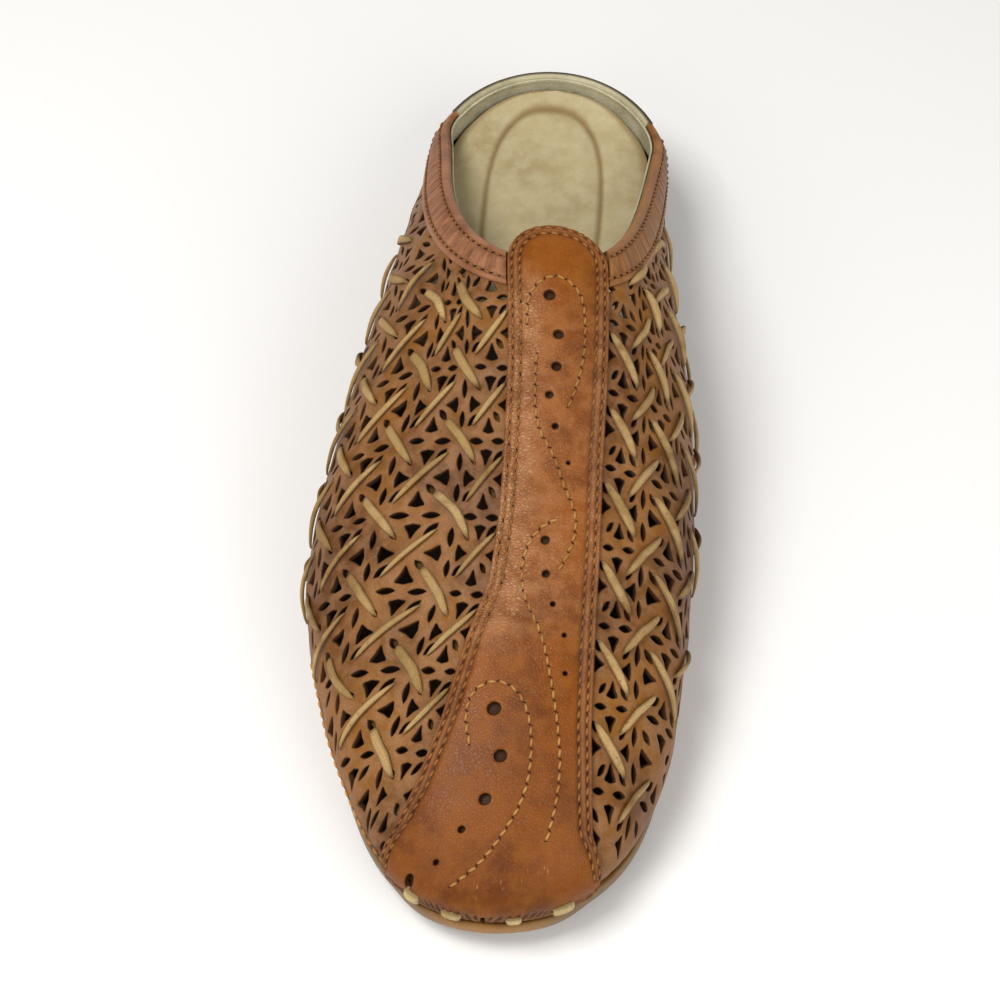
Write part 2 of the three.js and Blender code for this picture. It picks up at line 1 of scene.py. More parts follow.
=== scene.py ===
"""Looks of a right woven leather mule.

Every piece lies on one foot form, worked out in millimetres in the part's own frame: +Z up, toe
towards -Y, medial side towards +X, standing on z = 0. A station s runs from the back of the heel to
the tip of the toe. A section coordinate t runs over the foot: -2 is the lateral feather line, -1 the
lateral bulge, 0 the ridge, and 1 and 2 are the medial ones.
"""

import json
import logging
import math
from dataclasses import dataclass, field
from enum import Enum
from typing import Callable, Optional, Sequence

import bmesh
import bpy
import numpy as np
from mathutils import Matrix, Vector
from mathutils.geometry import delaunay_2d_cdt

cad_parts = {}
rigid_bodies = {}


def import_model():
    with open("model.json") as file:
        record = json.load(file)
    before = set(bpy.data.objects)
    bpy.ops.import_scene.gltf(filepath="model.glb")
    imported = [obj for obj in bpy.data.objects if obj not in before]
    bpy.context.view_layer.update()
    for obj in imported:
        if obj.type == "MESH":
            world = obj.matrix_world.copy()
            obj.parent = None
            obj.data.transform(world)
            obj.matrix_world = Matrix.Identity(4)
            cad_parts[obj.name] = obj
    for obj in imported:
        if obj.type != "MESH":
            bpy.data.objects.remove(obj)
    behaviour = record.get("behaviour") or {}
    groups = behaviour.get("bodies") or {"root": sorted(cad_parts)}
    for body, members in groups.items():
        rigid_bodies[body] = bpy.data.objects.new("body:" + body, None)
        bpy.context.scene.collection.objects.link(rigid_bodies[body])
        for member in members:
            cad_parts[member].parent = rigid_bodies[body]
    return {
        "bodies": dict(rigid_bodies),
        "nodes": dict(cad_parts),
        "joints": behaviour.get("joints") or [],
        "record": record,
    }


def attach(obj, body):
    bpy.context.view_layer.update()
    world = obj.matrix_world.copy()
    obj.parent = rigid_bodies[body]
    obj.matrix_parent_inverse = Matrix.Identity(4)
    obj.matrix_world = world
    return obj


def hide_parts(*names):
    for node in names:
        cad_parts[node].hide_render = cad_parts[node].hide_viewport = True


LOG = logging.getLogger("mule")
Array = np.ndarray
Colour = tuple[float, float, float]
Socket = bpy.types.NodeSocket
Tree = bpy.types.NodeTree
Material = bpy.types.Material
MM = 0.001


class Side(Enum):
    """The two sides of the foot, as signs of x."""

    LATERAL = -1
    MEDIAL = 1


def smooth(value: Array, low: float, high: float) -> Array:
    """Smooth step of value from 0 at low to 1 at high."""
    x = np.clip((np.asarray(value, float) - low) / (high - low), 0.0, 1.0)
    return x * x * (3.0 - 2.0 * x)


def unit(vectors: Array) -> Array:
    """Vectors of length one along the last axis."""
    return vectors / np.maximum(np.linalg.norm(vectors, axis=-1, keepdims=True), 1e-12)


def bell(value: Array, width: float) -> Array:
    """Bell curve of the given half width, 1 at zero."""
    return np.exp(-((np.asarray(value, float) / width) ** 2))


def along_path(points: Array) -> Array:
    """Length walked along a row of points, starting at zero."""
    legs = np.linalg.norm(np.diff(points, axis=0), axis=1)
    return np.concatenate([[0.0], np.cumsum(legs)])


def read_path(places: Array, run: Array, rows: Array) -> Array:
    """Rows of values along a path, read between its points at the given lengths of run."""
    return np.stack([np.interp(places, run, column) for column in rows.T], 1)


def noise_1d(x: Array, seed: int, octaves: int = 3) -> Array:
    """Smooth seeded wave: a sum of sines with unlike lengths and phases, about -1 to 1.

    Args:
        x: Where to read the wave, in waves of the first octave.
        seed: Seed of the phases.
        octaves: Number of pairs of sines.

    Returns:
        The wave's height at each x.
    """
    growth, partner, fall, peak = 1.83, 0.61, 1.5, 1.6
    rng = np.random.default_rng(seed)
    total = np.zeros_like(np.asarray(x, float))
    for k in range(octaves):
        phase = rng.uniform(0.0, 2.0 * math.pi, 2)
        rate = 2.0 * math.pi * growth**k
        pair = np.sin(rate * x + phase[0]) + np.sin(partner * rate * x + phase[1])
        total = total + pair / (2.0 * fall**k)
    return total / peak


class Spline:
    """Natural cubic spline through one column of a short table."""

    def __init__(self, stations: Sequence[float], values: Sequence[float]) -> None:
        """Solve the spline's second derivatives.

        Args:
            stations: Increasing stations.
            values: The column's value at each station.
        """
        self.x = np.asarray(stations, float)
        self.y = np.asarray(values, float)
        h = np.diff(self.x)
        n = len(self.x)
        system = np.eye(n)
        right = np.zeros(n)
        i = np.arange(1, n - 1)
        system[i, i - 1] = h[i - 1]
        system[i, i] = 2.0 * (h[i - 1] + h[i])
        system[i, i + 1] = h[i]
        right[i] = 6.0 * ((self.y[i + 1] - self.y[i]) / h[i] - (self.y[i] - self.y[i - 1]) / h[i - 1])
        self.bend = np.linalg.solve(system, right)

    def __call__(self, s: Array) -> Array:
        """Value of the column: a cubic between the two table stations round each s.

        Args:
            s: Stations.

        Returns:
            The value at each station.
        """
        s = np.asarray(s, float)
        k = np.clip(np.searchsorted(self.x, s, side="right") - 1, 0, len(self.x) - 2)
        h = self.x[k + 1] - self.x[k]
        a = (self.x[k + 1] - s) / h
        b = 1.0 - a
        bend = (a**3 - a) * self.bend[k] + (b**3 - b) * self.bend[k + 1]
        return a * self.y[k] + b * self.y[k + 1] + bend * h * h / 6.0


@dataclass
class Last:
    """The foot form: sections from a short table, an elliptic dome over a skirt that turns in to the sole."""

    length: float = 258.0
    heel_y: float = 130.09
    axis_x: float = 3.22
    heel_round: float = 32.0
    toe_round: float = 48.0
    fit_gap: float = 0.3
    sole_thick: float = 4.8
    seat_rise: float = 17.5
    arch_front: float = 150.0
    arch_run: float = 95.0
    toe_spring: float = 8.5
    spring_start: float = 195.0
    spring_power: float = 1.8
    skirt_turn: float = math.radians(75.0)
    collar_back: float = 16.0
    collar_front: float = 105.0
    rim_z: float = 34.2
    throat_z: float = 73.0
    collar_power: tuple[float, float] = (1.08, 1.32)
    nudge: float = 1e-3
    plan_nudge: float = 1e-4
    end_share: float = 1e-6
    end_gap: float = 0.02
    walk_gap: float = 0.05
    columns: tuple[str, ...] = (
        "station", "lateral", "medial", "ridge_x", "ridge_z", "bulge_z", "full", "tuck",
    )
    rows: tuple[tuple[float, ...], ...] = (
        (0, 32.5, 31.5, 0, 44, 31, 0, 2),
        (30, 33, 32.4, 1, 50, 31, 0, 2.4),
        (60, 37.2, 34.3, 2, 61, 31, 0, 3),
        (90, 41.8, 38.4, 4, 71, 29.5, -0.06, 3.6),
        (105, 44.4, 41.2, 5, 73, 28, -0.08, 3.8),
        (120, 46.9, 43.4, 6, 70.5, 26, -0.04, 4),
        (150, 51, 45.4, 7, 60.5, 22, 0.1, 4),
        (180, 51.4, 45.2, 7, 50.5, 19, 0.16, 4),
        (205, 45.1, 43.3, 6, 43, 17, 0.14, 3.4),
        (230, 38.5, 41.4, 5, 37, 16.5, 0.1, 2.5),
        (258, 38.6, 43, 4, 32, 17, 0, 1.5),
    )
    strip_rows: tuple[tuple[float, float, float], ...] = (
        (85, 11.6, 14.4),
        (110, 11.3, 14.5),
        (132, 10.6, 14.3),
        (155, 10.4, 14),
        (170, 10.4, 14.4),
        (186, 11.2, 15),
        (200, 15, 15.8),
        (218, 18.3, 17.1),
        (234, 22.6, 19.6),
        (241, 25.8, 21.2),
        (248, 31, 27),
        (252, 44, 44),
        (258, 60, 60),
    )
    section: dict[str, Spline] = field(init=False)

    def __post_init__(self) -> None:
        """Make a spline for each column of the section table."""
        table = np.array(self.rows, float)
        self.section = {name: Spline(table[:, 0], table[:, k]) for k, name in enumerate(self.columns)}

    def station(self, u: Array) -> Array:
        """Station at the share u of the foot, close together at both ends."""
        return self.length * (1.0 - np.cos(math.pi * np.clip(u, 0.0, 1.0))) / 2.0

    def share(self, s: Array) -> Array:
        """The share u whose station is s."""
        return np.arccos(np.clip(1.0 - 2.0 * np.asarray(s, float) / self.length, -1.0, 1.0)) / math.pi

    def toe_close(self, s: Array) -> Array:
        """How far the section is open towards the toe, 1 to 0 on a quarter circle."""
        q = np.clip((np.asarray(s, float) - self.length + self.toe_round) / self.toe_round, 0.0, 1.0)
        return np.sqrt(1.0 - q * q)

    def end_close(self, s: Array) -> Array:
        """How far the plan is open towards both ends."""
        h = np.clip((self.heel_round - np.asarray(s, float)) / self.heel_round, 0.0, 1.0)
        return np.sqrt(1.0 - h * h) * self.toe_close(s)

    def sole_bottom(self, s: Array) -> Array:
        """Height of the sole's underside: a cosine rise to the heel seat and a power curve up to the toe.

        Args:
            s: Stations.

        Returns:
            Heights over the floor.
        """
        s = np.asarray(s, float)
        rise = np.clip((self.arch_front - s) / self.arch_run, 0.0, 1.0)
        arch = self.seat_rise * (1.0 - np.cos(math.pi * rise)) / 2.0
        ahead = np.maximum(0.0, (s - self.spring_start) / (self.length - self.spring_start))
        return arch + self.toe_spring * ahead**self.spring_power

    def sole_top(self, s: Array) -> Array:
        """Height of the sole's upper side."""
        return self.sole_bottom(s) + self.sole_thick

    def feather_z(self, s: Array) -> Array:
        """Height of the feather line, where the upper meets the sole."""
        return self.sole_top(s) + self.fit_gap

    def bulge_x(self, s: Array, sign: Array) -> Array:
        """Distance of the bulge line from the axis, with its sign."""
        half = np.where(np.asarray(sign) < 0, self.section["lateral"](s), self.section["medial"](s))
        return sign * half * self.end_close(s)

    def plan(self, s: Array, sign: Array) -> tuple[Array, Array]:
        """Plan outline at the bulge, and its outward normal.

        Args:
            s: Stations.
            sign: -1 for the lateral side, 1 for the medial side.

        Returns:
            Points (x, y) and unit normals (x, y).
        """
        s, sign = np.broadcast_arrays(np.asarray(s, float), np.asarray(sign, float))
        u = self.share(s)
        before = self.station(u - self.plan_nudge)
        after = self.station(u + self.plan_nudge)
        normal = np.stack([after - before, self.bulge_x(after, sign) - self.bulge_x(before, sign)], -1)
        normal = unit(normal) * sign[..., None]
        normal = np.where((u < self.end_share)[..., None], np.array([0.0, 1.0]), normal)
        normal = np.where((u > 1.0 - self.end_share)[..., None], np.array([0.0, -1.0]), normal)
        return np.stack([self.bulge_x(s, sign) + self.axis_x, self.heel_y - s], -1), normal

    def point(self, s: Array, t: Array) -> Array:
        """Point of the form: an ellipse arc from ridge to bulge, then a skirt that turns in below it.

        Args:
            s: Stations.
            t: Section coordinates, -2 to 2.

        Returns:
            Points (x, y, z) in millimetres.
        """
        s, t = np.broadcast_arrays(np.asarray(s, float), np.asarray(t, float))
        sign = np.where(t < 0, -1.0, 1.0)
        a = np.abs(t)
        bulge = self.section["bulge_z"](s)
        angle = (1.0 - np.minimum(a, 1.0)) * math.pi / 2.0
        ridge = self.section["ridge_x"](s) * self.end_close(s)
        across = np.cos(angle) * (1.0 + self.section["full"](s) * np.sin(angle) ** 2)
        dome_x = ridge + (self.bulge_x(s, sign) - ridge) * across + self.axis_x
        dome_z = bulge + (self.section["ridge_z"](s) - bulge) * self.toe_close(s) * np.sin(angle)
        turn = np.maximum(a - 1.0, 0.0) * self.skirt_turn
        edge, normal = self.plan(s, sign)
        inset = self.section["tuck"](s) * (1.0 - np.cos(turn)) / (1.0 - math.cos(self.skirt_turn))
        skirt_z = bulge + (self.feather_z(s) - bulge) * np.sin(turn) / math.sin(self.skirt_turn)
        skirt = edge - normal * inset[..., None]
        low = a > 1.0
        x = np.where(low, skirt[..., 0], dome_x)
        y = np.where(low, skirt[..., 1], self.heel_y - s)
        z = np.where(low, skirt_z, dome_z)
        return np.stack([x, y, z], -1)

    def normal(self, s: Array, t: Array) -> Array:
        """Outward unit normal of the form, from differences along and over the foot.

        Args:
            s: Stations.
            t: Section coordinates.

        Returns:
            Unit normals (x, y, z).
        """
        inside = np.clip(s, self.end_gap, self.length - self.end_gap)
        s, t = np.broadcast_arrays(inside, np.asarray(t, float))
        u = self.share(s)
        along = self.point(self.station(u + self.nudge), t) - self.point(self.station(u - self.nudge), t)
        over = self.point(s, t + self.nudge) - self.point(s, t - self.nudge)
        return unit(-np.cross(over, along))

    def skin(self, s: Array, t: Array, lift: Array) -> Array:
        """Point at a height over the form."""
        return self.point(s, t) + self.normal(s, t) * np.asarray(lift, float)[..., None]

    def collar_t(self, s: Array, side: Side) -> Array:
        """Section coordinate of the collar edge, which climbs by a power curve from the back to the throat.

        Args:
            s: Stations.
            side: Which side.

        Returns:
            Section coordinates, 0 in front of the throat.
        """
        s = np.asarray(s, float)
        power = self.collar_power[0 if side is Side.LATERAL else 1]
        run = np.clip((s - self.collar_back) / (self.collar_front - self.collar_back), 0.0, 1.0)
        height = self.rim_z + (self.throat_z - self.rim_z) * run**power
        bulge = self.section["bulge_z"](s)
        rise = np.clip((height - bulge) / (self.section["ridge_z"](s) - bulge), 0.0, 1.0)
        t = side.value * (1.0 - np.arcsin(rise) * 2.0 / math.pi)
        return np.where(s >= self.collar_front, 0.0, t)

    def strip_edge(self, s: Array, side: Side) -> Array:
        """Distance over the foot from the ridge to the centre strip's edge."""
        table = np.array(self.strip_rows, float)
        return np.interp(s, table[:, 0], table[:, 1 if side is Side.LATERAL else 2])

    def walk(self, s: Array, t: Array, direction: Array, length: Array) -> tuple[Array, Array]:
        """One step over the form along a direction in space.

        Args:
            s: Stations at the start.
            t: Section coordinates at the start.
            direction: Unit directions.
            length: Lengths of the step.

        Returns:
            Stations and section coordinates at the end.
        """
        u = self.share(np.clip(s, self.walk_gap, self.length - self.walk_gap))
        low, high = self.station(u - self.nudge), self.station(u + self.nudge)
        along = (self.point(high, t) - self.point(low, t)) / (high - low)[..., None]
        over = (self.point(s, t + self.nudge) - self.point(s, t - self.nudge)) / (2.0 * self.nudge)
        aa, ab, bb = (along**2).sum(-1), (along * over).sum(-1), (over**2).sum(-1)
        da = (along * direction).sum(-1) * length
        db = (over * direction).sum(-1) * length
        det = aa * bb - ab * ab
        return s + (bb * da - ab * db) / det, t + (aa * db - ab * da) / det


@dataclass
class Chart:
    """Flat chart of one half of the upper: run along the bulge line, girth from the ridge, in millimetres."""

    last: Last
    side: Side
    rows: int = 481
    columns: int = 201
    stations: Array = field(init=False)
    runs: Array = field(init=False)
    ends: Array = field(init=False)
    shares: Array = field(init=False)
    table: Array = field(init=False)

    def __post_init__(self) -> None:
        """Measure the form: girth at each station, and the section coordinate at each share of it."""
        sign = float(self.side.value)
        self.stations = self.last.station(np.linspace(0.0, 1.0, self.rows))
        edge = self.last.point(self.stations, np.full(self.rows, sign))
        self.runs = along_path(edge[:, :2])
        t = np.linspace(0.0, 2.0, self.columns)
        grid = self.last.point(self.stations[:, None], sign * np.maximum(t, 1e-9)[None, :])
        legs = np.linalg.norm(np.diff(grid, axis=1), axis=-1)
        girth = np.concatenate([np.zeros((self.rows, 1)), np.cumsum(legs, axis=1)], axis=1)
        self.ends = girth[:, -1]
        self.shares = girth / self.ends[:, None]
        q = np.linspace(0.0, 1.0, self.columns)
        self.table = np.stack([np.interp(q, row, t) for row in self.shares])

    def run(self, s: Array) -> Array:
        """Run along the bulge line at a station."""
        return np.interp(s, self.stations, self.runs)

    def end(self, s: Array) -> Array:
        """Girth from the ridge down to the feather line."""
        return np.interp(s, self.stations, self.ends)

    def _look(self, table: Array, s: Array, column: Array) -> Array:
        """Value of a table between its rows (stations) and its columns (shares of the girth).

        Args:
            table: One of the chart's tables.
            s: Stations.
            column: Places between the first and the last column, 0 to 1.

        Returns:
            Values mixed from the four nearest entries.
        """
        row = np.interp(s, self.stations, np.arange(len(self.stations)))
        r = np.clip(np.floor(row).astype(int), 0, len(self.stations) - 2)
        c = np.clip(column, 0.0, 1.0) * (table.shape[1] - 1)
        k = np.clip(np.floor(c).astype(int), 0, table.shape[1] - 2)
        f, g = row - r, c - k
        near = table[r, k] * (1 - g) + table[r, k + 1] * g
        far = table[r + 1, k] * (1 - g) + table[r + 1, k + 1] * g
        return near * (1 - f) + far * f

    def section(self, run: Array, girth: Array) -> tuple[Array, Array]:
        """Station and section coordinate of a chart place."""
        s = np.interp(run, self.runs, self.stations)
        return s, self.over(s, girth)

    def over(self, s: Array, girth: Array) -> Array:
        """Section coordinate at a girth from the ridge."""
        return self.side.value * self._look(self.table, s, np.asarray(girth) / self.end(s))

    def girth(self, s: Array, t: Array) -> Array:
        """Girth from the ridge to a section coordinate."""
        return self._look(self.shares, s, np.abs(t) / 2.0) * self.end(s)


def grid_faces(rows: int, columns: int, wrap: bool = False) -> Array:
    """Quads over a grid of points numbered row by row.

    Args:
        rows: Rows of points.
        columns: Points in a row.
        wrap: Whether each row is a closed ring.

    Returns:
        Corner indices (n, 4).
    """
    i = np.arange(rows - 1)[:, None] * columns
    j = np.arange(columns if wrap else columns - 1)[None, :]
    ahead = (j + 1) % columns
    corners = [i + j, i + columns + j, i + columns + ahead, i + ahead]
    return np.stack(np.broadcast_arrays(*corners), -1).reshape(-1, 4)


def sheet_faces(rows: int, columns: int) -> Array:
    """Quads of a closed sheet: a front grid, a back grid numbered after it, and a wall round their edge.

    Args:
        rows: Rows of points in a grid.
        columns: Points in a row.

    Returns:
        Corner indices (n, 4).
    """
    count = rows * columns
    number = np.arange(count).reshape(rows, columns)
    rim = np.concatenate([number[0], number[1:, -1], number[-1, -2::-1], number[-2:0:-1, 0]])
    ahead = np.roll(rim, -1)
    front = grid_faces(rows, columns)
    walls = np.stack([ahead, rim, rim + count, ahead + count], 1)
    return np.concatenate([front, front[:, ::-1] + count, walls])


def tube_faces(rows: int, ring: int) -> list[list[int]]:
    """Faces of a tube: rings of points, closed round, with a flat cap on each end.

    Args:
        rows: Number of rings.
        ring: Points in a ring.

    Returns:
        Corner indices of each face.
    """
    first = list(range(ring))
    final = list(range((rows - 1) * ring, rows * ring))
    return [*grid_faces(rows, ring, wrap=True).tolist(), first[::-1], final]


def bar_faces(rows: int, ring: int, count: int) -> Array:
    """Quads of many like bars: rings of points, closed round, with a fan of quads on each end.

    Args:
        rows: Rings in a bar.
        ring: Points in a ring, an even number.
        count: Number of bars.

    Returns:
        Corner indices (n, 4).
    """
    fan = np.arange(1, ring - 2, 2)[:, None]
    first = np.concatenate([0 * fan, fan, fan + 1, fan + 2], 1)
    final = np.concatenate([0 * fan, fan + 2, fan + 1, fan], 1) + (rows - 1) * ring
    one = np.concatenate([grid_faces(rows, ring, wrap=True), first, final])
    return (one[None] + np.arange(count)[:, None, None] * rows * ring).reshape(-1, 4)


def within(points: Array, loop: Array) -> Array:
    """Which points lie inside a closed loop, by counting the crossings of a ray.

    Args:
        points: Places in a flat chart (n, 2).
        loop: Corners of the loop (m, 2).

    Returns:
        A mask of the points inside.
    """
    ahead = np.roll(loop, -1, 0)
    level = points[:, 1:2]
    crossed = (loop[None, :, 1] > level) != (ahead[None, :, 1] > level)
    rise = ahead[:, 1] - loop[:, 1]
    slope = (ahead[:, 0] - loop[:, 0]) / np.where(rise == 0.0, 1e-12, rise)
    at = loop[None, :, 0] + (level - loop[None, :, 1]) * slope[None, :]
    return (crossed & (points[:, 0:1] < at)).sum(1) % 2 == 1


def triangulate(loops: Sequence[Array], inner: Array, rings: Sequence[Array] = ()) -> tuple[Array, Array]:
    """Triangles inside the first loop and outside the other loops, with extra points inside.

    Args:
        loops: Closed outlines in a flat chart, the outer one first.
        inner: Further points.
        rings: Closed lines on the leather that no triangle crosses.

    Returns:
        Points (n, 2) in use and triangles (m, 3), counter-clockwise.
    """
    edges, start = [], 0
    for loop in [*loops, *rings]:
        index = start + np.arange(len(loop))
        edges.append(np.stack([index, np.roll(index, -1)], 1))
        start += len(loop)
    coords = [Vector(p) for p in np.concatenate([*loops, *rings, inner]).tolist()]
    made = delaunay_2d_cdt(coords, np.concatenate(edges).tolist(), [], 0, 1e-6, False)
    points = np.array([(p[0], p[1]) for p in made[0]])
    faces = np.array(made[2], int)
    middle = points[faces].mean(1)
    keep = within(middle, loops[0])
    for loop in loops[1:]:
        near = np.flatnonzero(((middle > loop.min(0)) & (middle < loop.max(0))).all(1))
        keep[near] &= ~within(middle[near], loop)
    faces = faces[keep]
    a, b, c = points[faces[:, 0]], points[faces[:, 1]], points[faces[:, 2]]
    area = (b[:, 0] - a[:, 0]) * (c[:, 1] - a[:, 1]) - (b[:, 1] - a[:, 1]) * (c[:, 0] - a[:, 0])
    faces = np.where((area < 0)[:, None], faces[:, ::-1], faces)[np.abs(area) > 1e-9]
    used, packed = np.unique(faces, return_inverse=True)
    return points[used], packed.reshape(-1, 3)


def set_out(loop: Array, width: float) -> Array:
    """A closed outline moved outwards by a width, along the normal at each of its points.

    Args:
        loop: Corners of the outline (n, 2).
        width: How far it is moved.

    Returns:
        Corners of the wider outline.
    """
    along = np.roll(loop, -1, 0) - np.roll(loop, 1, 0)
    normal = unit(np.stack([along[:, 1], -along[:, 0]], 1))
    turn = np.sign(np.sum(normal * (loop - loop.mean(0))))
    return loop + normal * turn * width


def rim_edges(faces: Array, count: int) -> Array:
    """Directed edges that only one triangle has."""
    edges = np.concatenate([faces[:, [0, 1]], faces[:, [1, 2]], faces[:, [2, 0]]])
    return edges[~np.isin(edges[:, 0] * count + edges[:, 1], edges[:, 1] * count + edges[:, 0])]


def shell(faces: Array, outer: Array, inner: Array) -> tuple[Array, list[list[int]]]:
    """Closed shell between two layers of the same triangles, walled along every rim.

    Args:
        faces: Triangles of a layer.
        outer: Points of the outer layer.
        inner: Points of the inner layer.

    Returns:
        Points and faces of the shell, facing outwards.
    """
    n = len(outer)
    a, b, c = outer[faces[:, 0]], outer[faces[:, 1]], outer[faces[:, 2]]
    out = (np.cross(b - a, c - a) * (outer - inner)[faces[:, 0]]).sum()
    faces = faces if out > 0 else faces[:, ::-1]
    rim = rim_edges(faces, n)
    walls = np.stack([rim[:, 1], rim[:, 0], rim[:, 0] + n, rim[:, 1] + n], 1)
    listed = [*faces.tolist(), *(faces[:, ::-1] + n).tolist(), *walls.tolist()]
    return np.concatenate([outer, inner]), listed


def far_from(points: Array, others: Array, reach: float, batch: int = 400) -> Array:
    """Which points are further than a reach from all others.

    Args:
        points: Places to test (n, 2).
        others: Places to keep away from (m, 2).
        reach: The smallest distance.
        batch: How many points are tested at once.

    Returns:
        A mask of the points that are far enough.
    """
    keep = np.ones(len(points), bool)
    for k in range(0, len(points), batch):
        part = points[k : k + batch]
        gap = ((part[:, None, :] - others[None, :, :]) ** 2).sum(-1).min(1)
        keep[k : k + batch] = gap > reach * reach
    return keep


def close_up(mesh: bpy.types.Mesh, reach: float = 2e-6) -> None:
    """Join the points that meet at seams and poles, drop faces without area, and turn all faces outwards.

    Args:
        mesh: The mesh to close.
        reach: Distance in metres up to which points are one.
    """
    work = bmesh.new()
    work.from_mesh(mesh)
    bmesh.ops.remove_doubles(work, verts=work.verts, dist=reach)
    bmesh.ops.dissolve_degenerate(work, edges=work.edges, dist=reach)
    bmesh.ops.recalc_face_normals(work, faces=work.faces)
    work.to_mesh(mesh)
    work.free()


def add_piece(
    name: str,
    points: Array,
    faces: Sequence[Sequence[int]],
    material: Material,
    nodes: Sequence[str] = (),
    attributes: Optional[dict[str, Array]] = None,
    sharp: float = 50.0,
) -> bpy.types.Object:
    """Make a mesh object, let it ride on the part and stand for CAD nodes.

    Args:
        name: The piece's name.
        points: Points in millimetres, in any grid.
        faces: Corner indices of each face.
        material: Its finish.
        nodes: CAD nodes that it stands for.
        attributes: Values per point for the finish.
        sharp: Angle in degrees from which an edge is drawn sharp.

    Returns:
        The new object.
    """
    mesh = bpy.data.meshes.new(name)
    mesh.from_pydata((points * MM).reshape(-1, 3).tolist(), [], [list(f) for f in faces])
    for key, values in (attributes or {}).items():
        layer = mesh.attributes.new(key, "FLOAT", "POINT")
        layer.data.foreach_set("value", np.ravel(values).astype(np.float32))
    close_up(mesh)
    mesh.polygons.foreach_set("use_smooth", np.ones(len(mesh.polygons), bool))
    mesh.set_sharp_from_angle(angle=math.radians(sharp))
    mesh.materials.append(material)
    piece = bpy.data.objects.new(name, mesh)
    bpy.context.scene.collection.objects.link(piece)
    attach(piece, "root")
    if nodes:
        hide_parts(*nodes)
    LOG.info("%s: %d points, %d faces", name, len(mesh.vertices), len(mesh.polygons))
    return piece


def srgb(red: int, green: int, blue: int) -> Colour:
    """Linear colour of an sRGB colour, by the standard's own curve.

    Args:
        red: Red, 0 to 255.
        green: Green, 0 to 255.
        blue: Blue, 0 to 255.

    Returns:
        Linear red, green and blue, 0 to 1.
    """
    c = np.array([red, green, blue]) / 255.0
    linear = np.where(c <= 0.04045, c / 12.92, ((c + 0.055) / 1.055) ** 2.4)
    return (float(linear[0]), float(linear[1]), float(linear[2]))


class Nodes:
    """A small hand for laying shader nodes in a tree."""

    def __init__(self, tree: Tree) -> None:
        """Keep the tree that nodes go into."""
        self.tree = tree

    def add(self, kind: str, **given: object) -> bpy.types.Node:
        """Add a node, and set its settings and inputs in the order given.

        Args:
            kind: The node's type name, without ShaderNode.
            **given: Settings by their names, and values or sockets by input name or by i and a place.

        Returns:
            The node.
        """
        node = self.tree.nodes.new("ShaderNode" + kind)
        for key, value in given.items():
            self.put(node, key, value)
        return node

    def put(self, node: bpy.types.Node, key: str, value: object) -> None:
        """Set a setting of a node, or set or link one of its inputs.

        Args:
            node: The node.
            key: The setting, or the input with _ for a space, or i and the input's place.
            value: A value, a colour or an output socket.
        """
        if key in node.bl_rna.properties:
            setattr(node, key, value)
            return
        index = int(key[1:]) if key[0] == "i" and key[1:].isdigit() else key.replace("_", " ")
        if isinstance(value, Socket):
            self.tree.links.new(value, node.inputs[index])
        elif isinstance(value, tuple) and node.inputs[index].type == "RGBA":
            node.inputs[index].default_value = (*value, 1.0)
        else:
            node.inputs[index].default_value = value

    def math(self, operation: str, a: object, b: object, clamp: bool = False) -> Socket:
        """Two values joined by an operation."""
        return self.add("Math", operation=operation, use_clamp=clamp, i0=a, i1=b).outputs[0]

    def times(self, a: object, b: object, clamp: bool = False) -> Socket:
        """Product of two values."""
        return self.math("MULTIPLY", a, b, clamp)

    def moved(self, operation: str, vector: object, by: object) -> Socket:
        """Two vectors joined by an operation."""
        return self.add("VectorMath", operation=operation, i0=vector, i1=by).outputs[0]

    def mix(self, factor: object, a: object, b: object) -> Socket:
        """Mix of two colours by a factor."""
        return self.add("Mix", data_type="RGBA", i0=factor, i6=a, i7=b).outputs[2]

    def ramp(self, value: object, low: float, high: float, start: float = 0.0, end: float = 1.0) -> Socket:
        """Value carried smoothly from one range to another, and kept inside it."""
        given = {"i0": value, "i1": low, "i2": high, "i3": start, "i4": end}
        return self.add("MapRange", interpolation_type="SMOOTHSTEP", **given).outputs[0]

    def attribute(self, name: str) -> Socket:
        """Value of a piece's own attribute."""
        return self.add("Attribute", attribute_name=name).outputs["Fac"]

    def place(self) -> Socket:
        """The object's own coordinates."""
        return self.add("TexCoord").outputs["Object"]

    def drawn_noise(self, stretch: tuple[float, float, float], scale: float) -> Socket:
        """Noise on the object's own coordinates, stretched along its axes."""
        return self.noise(self.moved("MULTIPLY", self.place(), stretch), scale, 4.0, 0.6)

    def noise(self, vector: object, scale: float, detail: float = 3.0, rough: float = 0.55) -> Socket:
        """Value of a Noise texture."""
        return self.add("TexNoise", Vector=vector, Scale=scale, Detail=detail, Roughness=rough).outputs[0]


def make_group(
    name: str, inputs: dict[str, float], outputs: Sequence[str], lay: Callable[[Nodes, dict, dict], None]
) -> Tree:
    """Make a shader node group with value sockets.

    Args:
        name: The group's name.
        inputs: Default value of each input by name.
        outputs: Names of the outputs.
        lay: Lays the nodes; gets the hand, the input sockets and the output sockets by name.

    Returns:
        The group's tree.
    """
    tree = bpy.data.node_groups.new(name, "ShaderNodeTree")
    for key, value in inputs.items():
        socket = tree.interface.new_socket(key, in_out="INPUT", socket_type="NodeSocketFloat")
        socket.default_value = value
    for key in outputs:
        tree.interface.new_socket(key, in_out="OUTPUT", socket_type="NodeSocketFloat")
    start = tree.nodes.new("NodeGroupInput")
    end = tree.nodes.new("NodeGroupOutput")
    lay(Nodes(tree), {k: start.outputs[k] for k in inputs}, {k: end.inputs[k] for k in outputs})
    return tree


